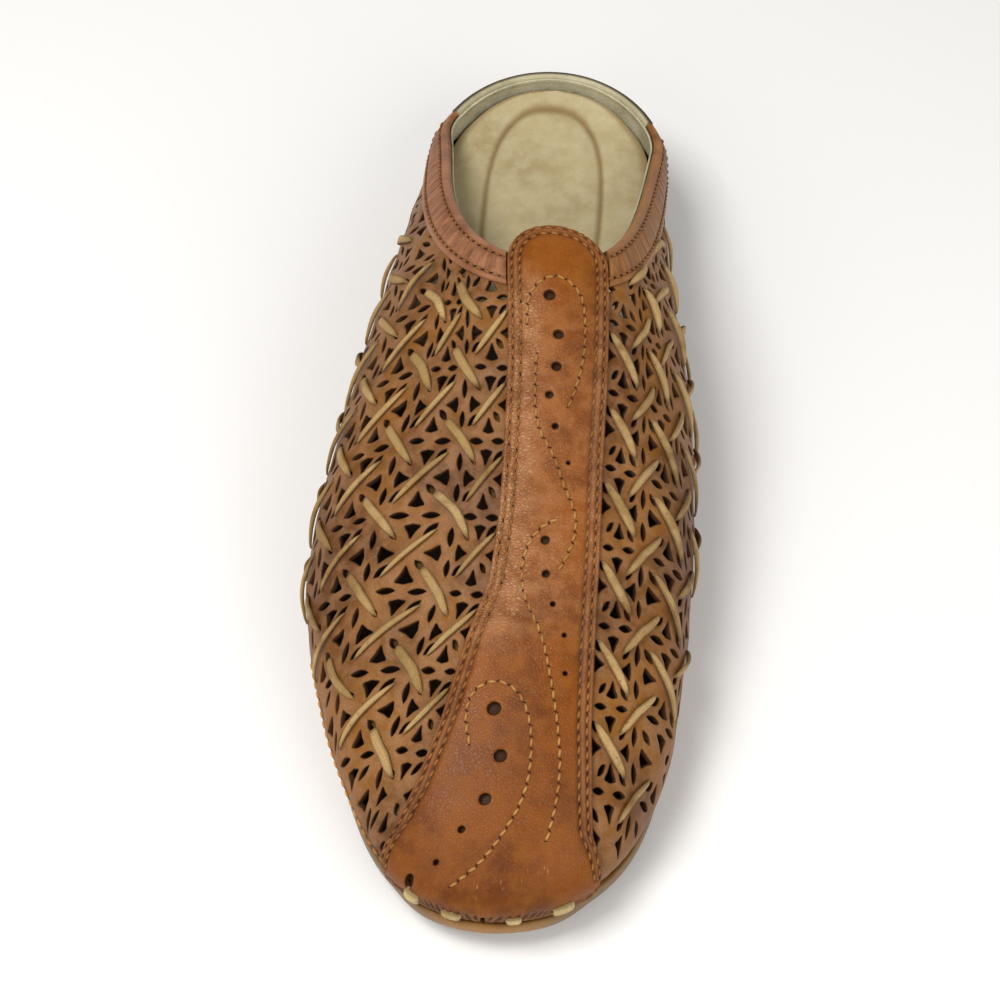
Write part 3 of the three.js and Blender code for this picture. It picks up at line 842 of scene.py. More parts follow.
def grain_group() -> Tree:
    """Leather grain: cells of a Voronoi pattern with soft furrows between them, broken up by fine noise.

    Returns:
        The group's tree, with the inputs Scale and Squeeze and the outputs Height and Cells.
    """
    warp_scale, warp_reach, pore_scale = 160.0, 0.0022, 2600.0
    furrow_width, cell_share = 0.22, 0.7

    def lay(nodes: Nodes, given: dict, out: dict) -> None:
        """Lay the cells, the furrows and the pores.

        Args:
            nodes: Lays nodes in the group.
            given: Input sockets by name.
            out: Output sockets by name.
        """
        place = nodes.place()
        warp = nodes.add("TexNoise", Vector=place, Scale=warp_scale, Detail=2.0).outputs["Color"]
        drift = nodes.add("VectorMath", operation="SCALE", i0=warp, Scale=warp_reach).outputs[0]
        squeeze = nodes.add("CombineXYZ", X=1.0, Y=given["Squeeze"], Z=1.0).outputs[0]
        squeezed = nodes.moved("MULTIPLY", nodes.moved("ADD", place, drift), squeeze)
        cells = nodes.add("TexVoronoi", feature="DISTANCE_TO_EDGE", Vector=squeezed, Scale=given["Scale"])
        furrow = nodes.ramp(cells.outputs["Distance"], 0.0, furrow_width)
        pores = nodes.noise(place, pore_scale, 2.0)
        height = nodes.math("ADD", nodes.times(furrow, cell_share), nodes.times(pores, 1.0 - cell_share))
        nodes.tree.links.new(height, out["Height"])
        nodes.tree.links.new(furrow, out["Cells"])

    return make_group("leather_grain", {"Scale": 900.0, "Squeeze": 1.0}, ("Height", "Cells"), lay)


def mottle_group() -> Tree:
    """Uneven dye: a broad cloud, a finer cloud and small specks, each 0 to 1.

    Returns:
        The group's tree, with the input Specks and the outputs Broad, Fine and Speck.
    """

    def lay(nodes: Nodes, given: dict, out: dict) -> None:
        """Lay the three noises.

        Args:
            nodes: Lays nodes in the group.
            given: Input sockets by name.
            out: Output sockets by name.
        """
        place = nodes.place()
        broad = nodes.ramp(nodes.noise(place, 38.0, 3.0), 0.36, 0.66)
        fine = nodes.ramp(nodes.noise(place, 210.0, 4.0, 0.62), 0.34, 0.68)
        speck = nodes.ramp(nodes.noise(place, 900.0, 2.0), 0.62, 0.74)
        nodes.tree.links.new(broad, out["Broad"])
        nodes.tree.links.new(fine, out["Fine"])
        nodes.tree.links.new(nodes.times(speck, given["Specks"]), out["Speck"])

    return make_group("uneven_dye", {"Specks": 1.0}, ("Broad", "Fine", "Speck"), lay)


@dataclass(frozen=True)
class Leather:
    """A leather finish: three dye tones, specks, painted shade, worn places and painted light by the piece's
    own values, and grain.
    """

    name: str
    base: Colour
    deep: Colour
    pale: Colour
    roughness: float = 0.5
    coat: float = 0.0
    grain: float = 0.12
    grain_scale: float = 900.0
    specks: float = 0.5
    shade: Optional[Colour] = None
    wear_and_painted_light: Optional[Colour] = None
    gloss: float = 0.25
    wrinkle: float = 0.0
    crest_highlight: Colour = srgb(212, 172, 142)
    fleck: Colour = srgb(190, 142, 94)
    pale_share: float = 0.55
    furrow_share: float = 0.25
    rough_range: tuple[float, float] = (-0.06, 0.08)
    wear_range: tuple[float, float] = (0.5, 1.2)
    shade_rough: float = 0.25
    rubbed_rough: float = 0.12
    pebble_size: float = 0.62
    pebble_squeeze: float = 1.8
    coat_roughness: float = 0.28
    bump: float = 0.85

    def material(self, groups: dict[str, Tree]) -> Material:
        """Make the material: dye mixed by the mottle group, then the piece's own values of painted shade and
        of worn places and painted light.

        Args:
            groups: The shared node groups by name.

        Returns:
            The material.
        """
        material = bpy.data.materials.new(self.name)
        material.use_nodes = True
        nodes = Nodes(material.node_tree)
        mottle = nodes.add("Group", node_tree=groups["mottle"], Specks=self.specks)
        grain = nodes.add("Group", node_tree=groups["grain"], Scale=self.grain_scale)
        fine, height = mottle.outputs["Fine"], grain.outputs["Height"]
        colour = nodes.mix(mottle.outputs["Broad"], self.base, self.deep)
        colour = nodes.mix(nodes.times(fine, self.pale_share), colour, self.pale)
        colour = nodes.mix(mottle.outputs["Speck"], colour, self.deep)
        furrow = nodes.ramp(grain.outputs["Cells"], 0.0, 1.0, self.furrow_share, 0.0)
        colour = nodes.mix(furrow, colour, self.deep)
        rough = nodes.ramp(fine, 0.0, 1.0, *(self.roughness + change for change in self.rough_range))
        # Painted shade: the piece's shade value darkens the colour towards the shade tone.
        if self.shade is not None:
            shade = nodes.attribute("shade")
            colour = nodes.mix(shade, colour, self.shade)
            rough = nodes.math("ADD", rough, nodes.times(shade, self.shade_rough), clamp=True)
        # Worn places and painted light: real wear, and also painted sheen, painted highlights and the
        # insole's painted shadow.
        if self.wear_and_painted_light is not None:
            ragged = nodes.times(nodes.attribute("wear_and_painted_light"), nodes.ramp(fine, 0.0, 1.0, *self.wear_range))
            colour = nodes.mix(nodes.times(ragged, 1.0, clamp=True), colour, self.wear_and_painted_light)
        if self.wrinkle > 0.0:
            colour, rough, height = self.pebbled(nodes, groups["grain"], (colour, rough, height))
        bump = nodes.add("Bump", Height=height, Strength=self.bump, Distance=self.grain * MM)
        dressed = {
            "Base_Color": colour,
            "Roughness": rough,
            "Coat_Weight": self.coat,
            "Coat_Roughness": self.coat_roughness,
            "Specular_IOR_Level": self.gloss,
            "Normal": bump.outputs["Normal"],
        }
        for key, value in dressed.items():
            nodes.put(material.node_tree.nodes["Principled BSDF"], key, value)
        return material

    def pebbled(self, nodes: Nodes, tree: Tree, given: Sequence[Socket]) -> tuple[Socket, ...]:
        """Rubbed leather: uneven squeezed pebbles, with painted shade between them and painted highlights on
        their tops, and scratches.

        Args:
            nodes: Lays nodes in the material.
            tree: The grain group.
            given: Sockets of colour, roughness and height so far.

        Returns:
            The same three sockets, after the pebbles.
        """
        colour, rough, height = given
        pebble_scale = self.grain_scale * self.pebble_size
        pebbles = nodes.add("Group", node_tree=tree, Scale=pebble_scale, Squeeze=self.pebble_squeeze)
        uneven = nodes.ramp(nodes.drawn_noise((0.9, 1.3, 1.0), 1250.0), 0.34, 0.66, 0.35, 1.0)
        wrinkles = nodes.times(pebbles.outputs["Cells"], uneven)
        rubbed_and_sheen = nodes.attribute("wear_and_painted_light")
        # Painted shade between the pebbles and painted highlights on their tops.
        furrows = nodes.times(nodes.ramp(wrinkles, 0.0, 0.55, 0.7, 0.0), rubbed_and_sheen)
        crest_highlights = nodes.times(nodes.ramp(wrinkles, 0.62, 1.0, 0.0, 0.42), rubbed_and_sheen)
        scratches = nodes.ramp(nodes.drawn_noise((1.7, 0.4, 0.6), 900.0), 0.56, 0.72)
        colour = nodes.mix(furrows, colour, self.deep)
        colour = nodes.mix(crest_highlights, colour, self.crest_highlight)
        colour = nodes.mix(nodes.times(scratches, nodes.attribute("fleck")), colour, self.fleck)
        rough = nodes.math("SUBTRACT", rough, nodes.times(rubbed_and_sheen, self.rubbed_rough))
        raised = nodes.times(nodes.times(wrinkles, rubbed_and_sheen), self.wrinkle)
        return colour, rough, nodes.math("ADD", height, raised)


RECIPES: tuple[Leather, ...] = (
    Leather(
        "panel_leather", srgb(137, 88, 30), srgb(94, 56, 24), srgb(160, 117, 80), roughness=0.5, coat=0.04,
        grain=0.06, grain_scale=1500.0, specks=0.35, shade=srgb(24, 8, 2), wear_and_painted_light=srgb(158, 110, 68),
        gloss=0.18,
    ),
    Leather(
        "lace_leather", srgb(194, 158, 104), srgb(132, 98, 52), srgb(214, 184, 134), roughness=0.55,
        grain=0.16, grain_scale=1900.0, specks=0.9, shade=srgb(44, 22, 6), wear_and_painted_light=srgb(142, 112, 62),
        gloss=0.15,
    ),
    # The strip's wear tone also paints a pale sheen on its worn flank.
    Leather(
        "strip_leather", srgb(138, 74, 10), srgb(104, 52, 6), srgb(154, 90, 24), roughness=0.36, coat=0.04,
        grain=0.09, grain_scale=1250.0, specks=0.4, shade=srgb(36, 16, 5), wear_and_painted_light=srgb(182, 130, 88),
        gloss=0.18, wrinkle=3.6,
    ),
    # The bands' wear tone also paints highlights on their wrinkle crests.
    Leather(
        "band_leather", srgb(156, 102, 66), srgb(112, 68, 40), srgb(178, 124, 90), roughness=0.45, coat=0.08,
        grain=0.04, grain_scale=1700.0, specks=0.35, shade=srgb(56, 28, 14), wear_and_painted_light=srgb(186, 134, 100),
        gloss=0.22,
    ),
    Leather(
        "band_tan", srgb(148, 96, 46), srgb(106, 64, 28), srgb(170, 118, 68), roughness=0.45, coat=0.08,
        grain=0.04, grain_scale=1700.0, specks=0.35, shade=srgb(54, 28, 12), wear_and_painted_light=srgb(178, 126, 78),
        gloss=0.22,
    ),
    Leather(
        "sole_leather", srgb(158, 106, 34), srgb(112, 74, 26), srgb(176, 126, 52), roughness=0.45, coat=0.1,
        grain=0.04, grain_scale=700.0, specks=0.6, shade=srgb(44, 32, 18), wear_and_painted_light=srgb(112, 98, 74),
    ),
    Leather(
        "heel_leather", srgb(88, 60, 28), srgb(60, 40, 20), srgb(110, 80, 42), roughness=0.45, coat=0.1,
        grain=0.04, grain_scale=700.0, specks=0.5, shade=srgb(30, 20, 12),
    ),
    # The insole's wear tone is a painted shadow over its part under the upper.
    Leather(
        "insole_leather", srgb(188, 173, 131), srgb(168, 150, 110), srgb(198, 187, 153), roughness=0.6,
        grain=0.04, grain_scale=1500.0, specks=0.3, shade=srgb(116, 88, 42), wear_and_painted_light=srgb(50, 28, 12),
    ),
    Leather(
        "lining_leather", srgb(196, 190, 160), srgb(160, 152, 122), srgb(212, 208, 184), roughness=0.66,
        grain=0.1, grain_scale=900.0, specks=0.6, shade=srgb(104, 88, 56),
    ),
    Leather(
        "rim_leather", srgb(196, 188, 156), srgb(162, 152, 118), srgb(210, 204, 178), roughness=0.55,
        grain=0.05, grain_scale=1300.0, specks=0.5, shade=srgb(58, 44, 22),
    ),
    Leather(
        "edge_thread", srgb(146, 94, 46), srgb(112, 68, 30), srgb(170, 118, 66), roughness=0.65,
        grain=0.04, grain_scale=2600.0, specks=0.2, shade=srgb(30, 14, 6),
    ),
    Leather(
        "line_thread", srgb(190, 136, 70), srgb(154, 102, 48), srgb(206, 160, 96), roughness=0.65,
        grain=0.04, grain_scale=2600.0, specks=0.2, shade=srgb(60, 30, 10),
    ),
    Leather(
        "tie_leather", srgb(200, 176, 124), srgb(158, 132, 82), srgb(216, 198, 152), roughness=0.65,
        grain=0.1, grain_scale=1300.0, specks=0.8, shade=srgb(92, 70, 36),
    ),
)


@dataclass
class Workshop:
    """The form, its two charts, the shared node groups and the finishes."""

    last: Last = field(default_factory=Last)
    charts: dict[Side, Chart] = field(init=False)
    finishes: dict[str, Material] = field(init=False)

    def __post_init__(self) -> None:
        """Measure the charts and mix the finishes."""
        self.charts = {side: Chart(self.last, side) for side in Side}
        groups = {"grain": grain_group(), "mottle": mottle_group()}
        self.finishes = {recipe.name: recipe.material(groups) for recipe in RECIPES}


@dataclass
class Stitches:
    """Rows of sewn thread: each stitch is a short rounded bar whose ends dip into the leather."""

    length: float
    hole: float
    pitch: float = 2.8
    thick: float = 0.7
    ring: int = 6
    stops: tuple[float, ...] = (-1.38, -1.3, -1.08, -0.96, -0.5, 0.0, 0.5, 0.96, 1.08, 1.3, 1.38)
    tip: float = 1.35
    tip_share: float = 0.25
    hole_flat: float = 0.1
    hole_lift: float = 0.05
    crown: float = 0.2
    slant: float = 0.16
    end_shade: float = 0.5
    points: list[Array] = field(default_factory=list)
    shades: list[Array] = field(default_factory=list)

    def row(self, path: Array, normals: Array, dull: float = 0.0) -> None:
        """Lay a row of stitches along a path.

        A stitch is a row of rings: round and arched between its ends, then flat where it goes into its hole.

        Args:
            path: Points of the path (n, 3).
            normals: Outward normals along it (n, 3).
            dull: How far the thread is darkened, from 0 to 1.
        """
        step = 0.5
        run = along_path(path)
        places = np.arange(self.pitch / 2.0, run[-1], self.pitch)
        along = unit(read_path(places + step, run, path) - read_path(places - step, run, path))
        up = unit(read_path(places, run, normals))
        across = unit(np.cross(along, up))
        a = np.array(self.stops)
        hole = np.abs(a) > 1.0
        pinched = np.where(np.abs(a) > self.tip, self.tip_share * self.hole, self.hole)
        girth = np.where(hole, pinched, np.sqrt(np.clip(1.0 - 0.9 * a**4, 0.0, 1.0)))
        height = np.where(hole, self.hole_flat, girth)
        lift = np.where(hole, self.hole_lift, self.crown - self.crown * a**2)
        lean = np.clip(self.slant * a, -self.slant, self.slant)
        angle = np.linspace(0.0, 2.0 * math.pi, self.ring, endpoint=False)
        ring_x = a * self.length / 2.0
        ring_y = girth[:, None] * np.cos(angle) * self.thick / 2.0 + lean[:, None]
        ring_z = height[:, None] * np.sin(angle) * self.thick / 2.0 + lift[:, None]
        bars = read_path(places, run, path)[:, None, None]
        bars = bars + along[:, None, None] * ring_x[None, :, None, None]
        bars = bars + across[:, None, None] * ring_y[None, ..., None]
        bars = bars + up[:, None, None] * ring_z[None, ..., None]
        # Painted shade: the flat dark ends stand for the needle holes, and the thread darkens where it dips
        # into them.
        dark = np.where(hole, 1.0, np.maximum(dull, self.end_shade * (np.abs(a) > 0.9)))
        self.points.append(bars)
        self.shades.append(np.broadcast_to(dark[None, :, None], bars.shape[:3]))

    def build(self, name: str, material: Material, slot: str) -> None:
        """Join all rows into one mesh.

        Args:
            name: The piece's name.
            material: The thread's finish.
            slot: The record's material slot; not used.
        """
        points = np.concatenate(self.points)
        faces = bar_faces(len(self.stops), self.ring, len(points))
        add_piece(name, points, faces, material, (), {"shade": np.concatenate(self.shades)}, 80.0)


@dataclass
class Lattice:
    """The woven pattern of one side: columns i run away from the strip, rows j towards the toe."""

    chart: Chart
    first: float
    pitch: float
    beside: float
    near: float
    far: float
    inboard: float = 13.0
    column: float = 18.5
    slope: float = 1.2
    toe_stop: float = 246.0
    opening_rows: tuple[float, float] = (1.5, 5.5)
    rows: tuple[int, int] = (-4, 11)
    columns: tuple[int, int] = (-2, 6)
    rounds: int = 6

    def cells(self) -> tuple[Array, Array]:
        """Columns and rows of all crossings."""
        j, i = np.meshgrid(np.arange(*self.rows, dtype=float), np.arange(*self.columns, dtype=float))
        return i.ravel(), j.ravel()

    def opening(self, j: Array) -> Array:
        """Girth between the first two columns, which open towards the toe."""
        return self.near + (self.far - self.near) * smooth(j, *self.opening_rows)

    def start(self, s: Array) -> Array:
        """Girth of the first column."""
        return self.chart.last.strip_edge(np.minimum(s, self.toe_stop), self.chart.side) + self.beside

    def row(self, s: Array, i: Array) -> Array:
        """Row of a column at a station."""
        return (s - self.first + self.slope * i) / self.pitch

    def place(self, i: Array, j: Array) -> tuple[Array, Array]:
        """Station and girth of a lattice place: even rows, and columns set out from the strip's edge.

        Args:
            i: Columns.
            j: Rows.

        Returns:
            Stations and girths.
        """
        i, j = np.broadcast_arrays(np.asarray(i, float), np.asarray(j, float))
        s = self.first + self.pitch * j - self.slope * i
        girth = self.start(s) + np.minimum(i, 0.0) * self.inboard
        return s, girth + np.clip(i, 0.0, 1.0) * self.opening(j) + np.maximum(i - 1.0, 0.0) * self.column

    def index(self, s: Array, girth: Array) -> tuple[Array, Array]:
        """Column and row at a station and girth, by settling one after the other a few times.

        Args:
            s: Stations.
            girth: Girths from the ridge.

        Returns:
            Columns and rows.
        """
        i = np.zeros_like(s)
        rest = girth - self.start(s)
        for _ in range(self.rounds):
            wide = self.opening(self.row(s, i))
            outer = np.where(rest < wide, rest / wide, 1.0 + (rest - wide) / self.column)
            i = np.where(rest < 0, rest / self.inboard, outer)
        return i, self.row(s, i)


def lens_loop(length: float, width: float, count: int = 7) -> Array:
    """Outline of a lens slot along the first axis: two parabola arcs between its tips.

    Args:
        length: Length from tip to tip.
        width: Width in the middle.
        count: Points on an arc.

    Returns:
        Corners of the outline (n, 2).
    """
    a = np.linspace(-1.0, 1.0, count)
    arc = np.stack([a * length / 2.0, (1.0 - a * a) * width / 2.0], 1)
    return np.concatenate([arc, arc[-2:0:-1] * [1.0, -1.0]])


def wedge_loop(apex: float, base: float, half: float) -> Array:
    """Outline of a three-cornered cut along the first axis, its corners rounded and its sides bowed out.

    Args:
        apex: Place of the apex.
        base: Place of the base.
        half: Half the width of the base.

    Returns:
        Corners of the outline (n, 2).
    """
    corners = np.array([[apex, 0.0], [base, half], [base, -half]])
    softness = np.array([0.06, 0.13, 0.13])[:, None]
    bulges = np.array([[0.003, -0.008], [0.02, 0.0], [0.003, 0.008]])
    before, after = np.roll(corners, 1, 0), np.roll(corners, -1, 0)
    first = corners + (before - corners) * softness
    final = corners + (after - corners) * softness
    middle = (first + 2.0 * corners + final) / 4.0
    return np.stack([first, middle, final, (corners + after) / 2.0 + bulges], 1).reshape(-1, 2)


@dataclass(frozen=True)
class Slit:
    """A slit that a lace goes through.

    Its fields are the shift of its crossings in the lattice, the slant of the lace, the place along the
    lace and beside it, and its length and width, all in lattice steps.
    """

    shift: float
    slant: float
    centre: float
    beside: float
    length: float = 0.19
    width: float = 0.085

    def loop(self) -> Array:
        """Outline of the slit round its crossing: a lens turned along the lace.

        Returns:
            Lattice places (n, 2), counted from the crossing.
        """
        along, across = np.array([1.0, self.slant]), np.array([1.0, -self.slant])
        lens = lens_loop(self.length, self.width) * math.sqrt(0.5)
        return (self.centre + lens[:, :1]) * along + (self.beside + lens[:, 1:]) * across


SLITS: dict[Side, tuple[Slit, ...]] = {
    Side.LATERAL: (
        Slit(0.0, -1.0, 0.34, 0.0),
        Slit(0.0, -1.0, -0.26, 0.0, length=0.16, width=0.06),
        Slit(0.5, 1.0, 0.27, 0.045, length=0.22),
        Slit(0.5, 1.0, -0.27, 0.045, length=0.22),
    ),
    Side.MEDIAL: (
        Slit(0.0, -1.0, 0.28, 0.035, length=0.2),
        Slit(0.0, -1.0, -0.28, 0.035, length=0.2),
        Slit(0.5, 1.0, 0.28, -0.035, length=0.2),
        Slit(0.5, 1.0, -0.28, -0.035, length=0.2),
    ),
}


@dataclass
class Panel:
    """One perforated side of the upper: a wall with slots, wedges and lace slits on the lattice."""

    shop: Workshop
    lattice: Lattice
    seed: int
    wall: float = 1.5
    lip: float = 0.16
    lip_width: float = 0.3
    pillow: float = 0.26
    pillow_margin: tuple[float, float] = (6.0, 14.0)
    pillow_start: tuple[float, float] = (30.0, 60.0)
    slot: tuple[float, float] = (0.25, 0.085)
    slot_place: float = 0.29
    wedge: tuple[float, float, float] = (0.17, 0.375, 0.12)
    hole_sizes: tuple[float, float] = (0.9, 1.08)
    hole_drift: float = 0.008
    feather_margin: float = 7.2
    toe_margin: float = 6.0
    toe_margin_run: tuple[float, float] = (180.0, 205.0)
    band_cover: float = 8.2
    lace_gap: float = 0.6
    strip_cover: float = 2.5
    ridge_gap: float = 1.0
    heel_plain: float = 26.0
    toe_plain: float = 6.0
    row_start: float = 194.0
    row_end: float = 249.0
    row_lead: float = 3.0
    row_margin: float = 1.4
    row_lift: float = 0.02
    row_stations: tuple[float, ...] = (196.0, 206.0, 230.0, 249.0)
    row_sections: tuple[float, ...] = (0.99, 0.97, 0.99, 1.05)
    mesh_step: float = 2.6
    mesh_girth: float = 100.0
    hole_gap: float = 0.9
    rim_gap: float = 0.8
    rim_shade: float = 0.82
    inner_shade: float = 0.86
    strip_shade: float = 0.8
    strip_shade_run: tuple[float, float] = (3.0, 5.0)
    strip_shade_start: float = 108.0
    feather_wear: float = 0.35
    feather_run: tuple[float, float] = (7.0, 1.0)

    @property
    def side(self) -> Side:
        """The side that the panel is on."""
        return self.lattice.chart.side

    def collar_line(self, count: int = 90) -> Array:
        """Chart places along the collar edge, from the back of the heel to the throat.

        Args:
            count: Number of places.

        Returns:
            Run and girth of each place.
        """
        last, chart = self.shop.last, self.lattice.chart
        run = np.linspace(0.0, chart.run(last.collar_front), count)
        s = np.interp(run, chart.runs, chart.stations)
        girth = chart.girth(s, last.collar_t(s, self.side))
        girth[-1] = 0.0
        return np.stack([run, girth], 1)

    def outline(self) -> Array:
        """Chart outline: collar, ridge, tip of the toe, feather line and back of the heel.

        Returns:
            Chart places (n, 2).
        """
        chart = self.lattice.chart
        tip = chart.runs[-1]
        ridge_count, foot_count, end_count = 100, 170, 6
        collar = self.collar_line()
        ahead = np.linspace(collar[-1, 0], tip, ridge_count)[1:]
        down = np.linspace(0.0, chart.ends[-1], end_count)[1:]
        back = np.linspace(tip, 0.0, foot_count)[1:]
        up = np.linspace(chart.ends[0], collar[0, 1], end_count)[1:-1]
        ridge = np.stack([ahead, np.zeros_like(ahead)], 1)
        front = np.stack([np.full_like(down, tip), down], 1)
        foot = np.stack([back, np.interp(back, chart.runs, chart.ends)], 1)
        heel = np.stack([np.zeros_like(up), up], 1)
        return np.concatenate([collar, ridge, front, foot, heel])

    def to_chart(self, i: Array, j: Array) -> Array:
        """Chart places of lattice places."""
        s, girth = self.lattice.place(i, j)
        return np.stack([self.lattice.chart.run(s), girth], -1)

    def clear(self, loops: Array, off_band: bool = False) -> Array:
        """Which loops of lattice places lie on open leather, off the sole, the strip and the band.

        Args:
            loops: Lattice places (n, points, 2).
            off_band: Whether the whole loop, not only its middle, is kept off the band.

        Returns:
            A mask of the loops to cut.
        """
        last, chart = self.shop.last, self.lattice.chart
        s, girth = self.lattice.place(loops[..., 0], loops[..., 1])
        at, over = (s, girth) if off_band else (s.mean(1, keepdims=True), girth.mean(1, keepdims=True))
        margin, cover = self.feather_margin, self.band_cover
        if off_band:
            margin = margin + self.toe_margin * smooth(s, *self.toe_margin_run)
            cover = cover + self.lace_gap
        low = girth < chart.end(s) - margin
        if self.side is Side.LATERAL:
            sewn = chart.girth(s, self.row_t(s)) - self.row_margin
            low = low & ((girth < sewn) | (s < self.row_start - self.row_lead))
        beside = (girth > last.strip_edge(s, self.side) - self.strip_cover) & (girth > self.ridge_gap)
        ends = (s > self.heel_plain) & (s < last.length - self.toe_plain)
        edge = last.point(*chart.section(*self.collar_line().T))
        places = last.point(at, chart.over(at, over))
        gap = np.linalg.norm(places[:, :, None] - edge[None, None], axis=-1).min((1, 2))
        depth = (chart.girth(at, last.collar_t(at, self.side)) < over).all(1)
        return (low & beside & ends).all(1) & depth & (gap > cover)

    def loops(self) -> list[Array]:
        """Chart outlines of every hole, a little uneven: slots and wedges in four turns, and the lace slits.

        Returns:
            Chart places of each hole (n, 2).
        """
        rng = np.random.default_rng(self.seed)
        cells = np.stack(self.lattice.cells(), 1)
        quarters = [np.array([[c, s], [-s, c]]) for c, s in ((1, 0), (0, 1), (-1, 0), (0, -1))]
        slot, wedge = lens_loop(*self.slot) + [self.slot_place, 0.0], wedge_loop(*self.wedge)
        motifs = [(slot @ turn, 0.0) for turn in quarters] + [(wedge @ turn, 0.5) for turn in quarters]
        motifs += [(slit.loop(), slit.shift) for slit in SLITS[self.side]]
        found = []
        for shape, shift in motifs:
            middle = shape.mean(0)
            size = rng.uniform(*self.hole_sizes, (len(cells), 1, 1))
            drift = rng.normal(0.0, self.hole_drift, (len(cells), 1, 2))
            loops = cells[:, None, :] + shift + middle + (shape - middle)[None] * size + drift
            found.extend(self.to_chart(loop[:, 0], loop[:, 1]) for loop in loops[self.clear(loops)])
        return found

    def lift(self, run: Array, girth: Array) -> Array:
        """Soft swell between the slits: a pillow over every crossing, faded out at the margins.

        Args:
            run: Runs along the chart.
            girth: Girths from the ridge.

        Returns:
            Heights over the form.
        """
        s, _ = self.lattice.chart.section(run, girth)
        i, j = self.lattice.index(s, girth)
        wave = np.cos(2.0 * math.pi * i) * np.cos(2.0 * math.pi * j)
        fade = smooth(self.lattice.chart.end(s) - girth, *self.pillow_margin) * smooth(s, *self.pillow_start)
        return self.pillow * wave * fade

    def cut(self) -> tuple[Array, Array]:
        """Cut the panel out of its chart: its outline, its holes, a fold line round each hole, and a grid.

        Returns:
            Chart places (n, 2) and triangles (m, 3).
        """
        last, chart = self.shop.last, self.lattice.chart
        holes = self.loops()
        rings = [set_out(hole, self.lip_width) for hole in holes]
        steps = (np.arange(1.0, end, self.mesh_step) for end in (chart.runs[-1], self.mesh_girth))
        run, girth = np.meshgrid(*steps, indexing="ij")
        run[:, 1::2] += self.mesh_step / 2.0
        grid = np.stack([run.ravel(), girth.ravel()], 1)
        grid = grid[far_from(grid, np.concatenate([*holes, *rings]), self.hole_gap)]
        s = np.interp(grid[:, 0], chart.runs, chart.stations)
        top = chart.girth(s, last.collar_t(s, self.side))
        inside = (grid[:, 1] > top + self.rim_gap) & (grid[:, 1] < chart.end(s) - self.rim_gap)
        inside = inside & (grid[:, 0] < chart.runs[-1] - self.rim_gap)
        return triangulate([self.outline(), *holes], grid[inside], rings)

    def build(self) -> None:
        """Lay the cut panel on the form as a wall with soft lips round each hole."""
        last, chart = self.shop.last, self.lattice.chart
        points, faces = self.cut()
        run, girth = points.T
        count = len(points)
        edge = np.zeros(count, bool)
        edge[np.unique(rim_edges(faces, count))] = True
        s, t = chart.section(run, girth)
        swell = self.lift(run, girth)
        outer = last.skin(s, t, swell - self.lip * edge)
        under = last.skin(s, t, swell * 0.5 - self.wall)
        solid, quads = shell(faces, outer, under)
        covered = smooth(last.strip_edge(s, self.side) - girth, *self.strip_shade_run)
        hidden = self.strip_shade * covered * (s > self.strip_shade_start)
        feather = self.feather_wear * smooth(chart.end(s) - girth, *self.feather_run)
        # The hole edges take the dark colour of the burnt cut edge; the darker inner face, and the hole walls
        # shaded towards it, are painted shade.
        dark = np.maximum(self.rim_shade * edge, hidden)
        values = {
            "shade": np.concatenate([dark, np.full(count, self.inner_shade)]),
            "wear_and_painted_light": np.concatenate([feather, np.zeros(count)]),
        }
        name = "upper_" + self.side.name.lower()
        add_piece(name, solid, quads, self.shop.finishes["panel_leather"], ["upper"], values, 60.0)

    def row_t(self, s: Array) -> Array:
        """Section coordinate of the row that is sewn round the toe."""
        return self.side.value * np.interp(s, self.row_stations, self.row_sections)

    def sew(self, stitches: Stitches, count: int = 260) -> None:
        """Sew the plain margin round the toe: a row just over the bulge, from the ball to the strip.

        Args:
            stitches: Where the stitches go.
            count: Places along the row.
        """
        s = np.linspace(self.row_start, self.row_end, count)
        t = self.row_t(s)
        stitches.row(self.shop.last.skin(s, t, np.full(count, self.row_lift)), self.shop.last.normal(s, t))


@dataclass(frozen=True)
class LaceCut:
    """Form of the laces over one set of crossings.

    Its fields are the set's shift in the lattice, the slant of the diagonal, the half length in lattice
    steps, the width and height in millimetres, the tilt of the flat side, whether the outer end is blunt,
    and whether the laces lie outside the wall.
    """

    shift: float
    slant: float
    reach: float
    width: float
    rise: float = 0.0
    tilt: float = 0.0
    blunt: bool = False
    outside: bool = True


UNDER_WALL: tuple[LaceCut, ...] = (
    LaceCut(0.5, -1.0, 0.26, 2.3, outside=False),
    LaceCut(0.0, 1.0, 0.26, 2.3, outside=False),
)
LACE_CUTS: dict[Side, tuple[LaceCut, ...]] = {
    Side.LATERAL: (
        LaceCut(0.0, -1.0, 0.305, 2.6, rise=0.6, tilt=0.12, blunt=True),
        LaceCut(0.5, 1.0, 0.34, 1.4, rise=0.75, tilt=0.45),
        *UNDER_WALL,
    ),
    Side.MEDIAL: (
        LaceCut(0.0, -1.0, 0.33, 2.2, rise=0.8, tilt=-0.4),
        LaceCut(0.5, 1.0, 0.33, 2.4, rise=0.75, tilt=-0.25),
        *UNDER_WALL,
    ),
}
LACE_DULLEST: dict[Side, float] = {Side.LATERAL: 0.7, Side.MEDIAL: 0.15}


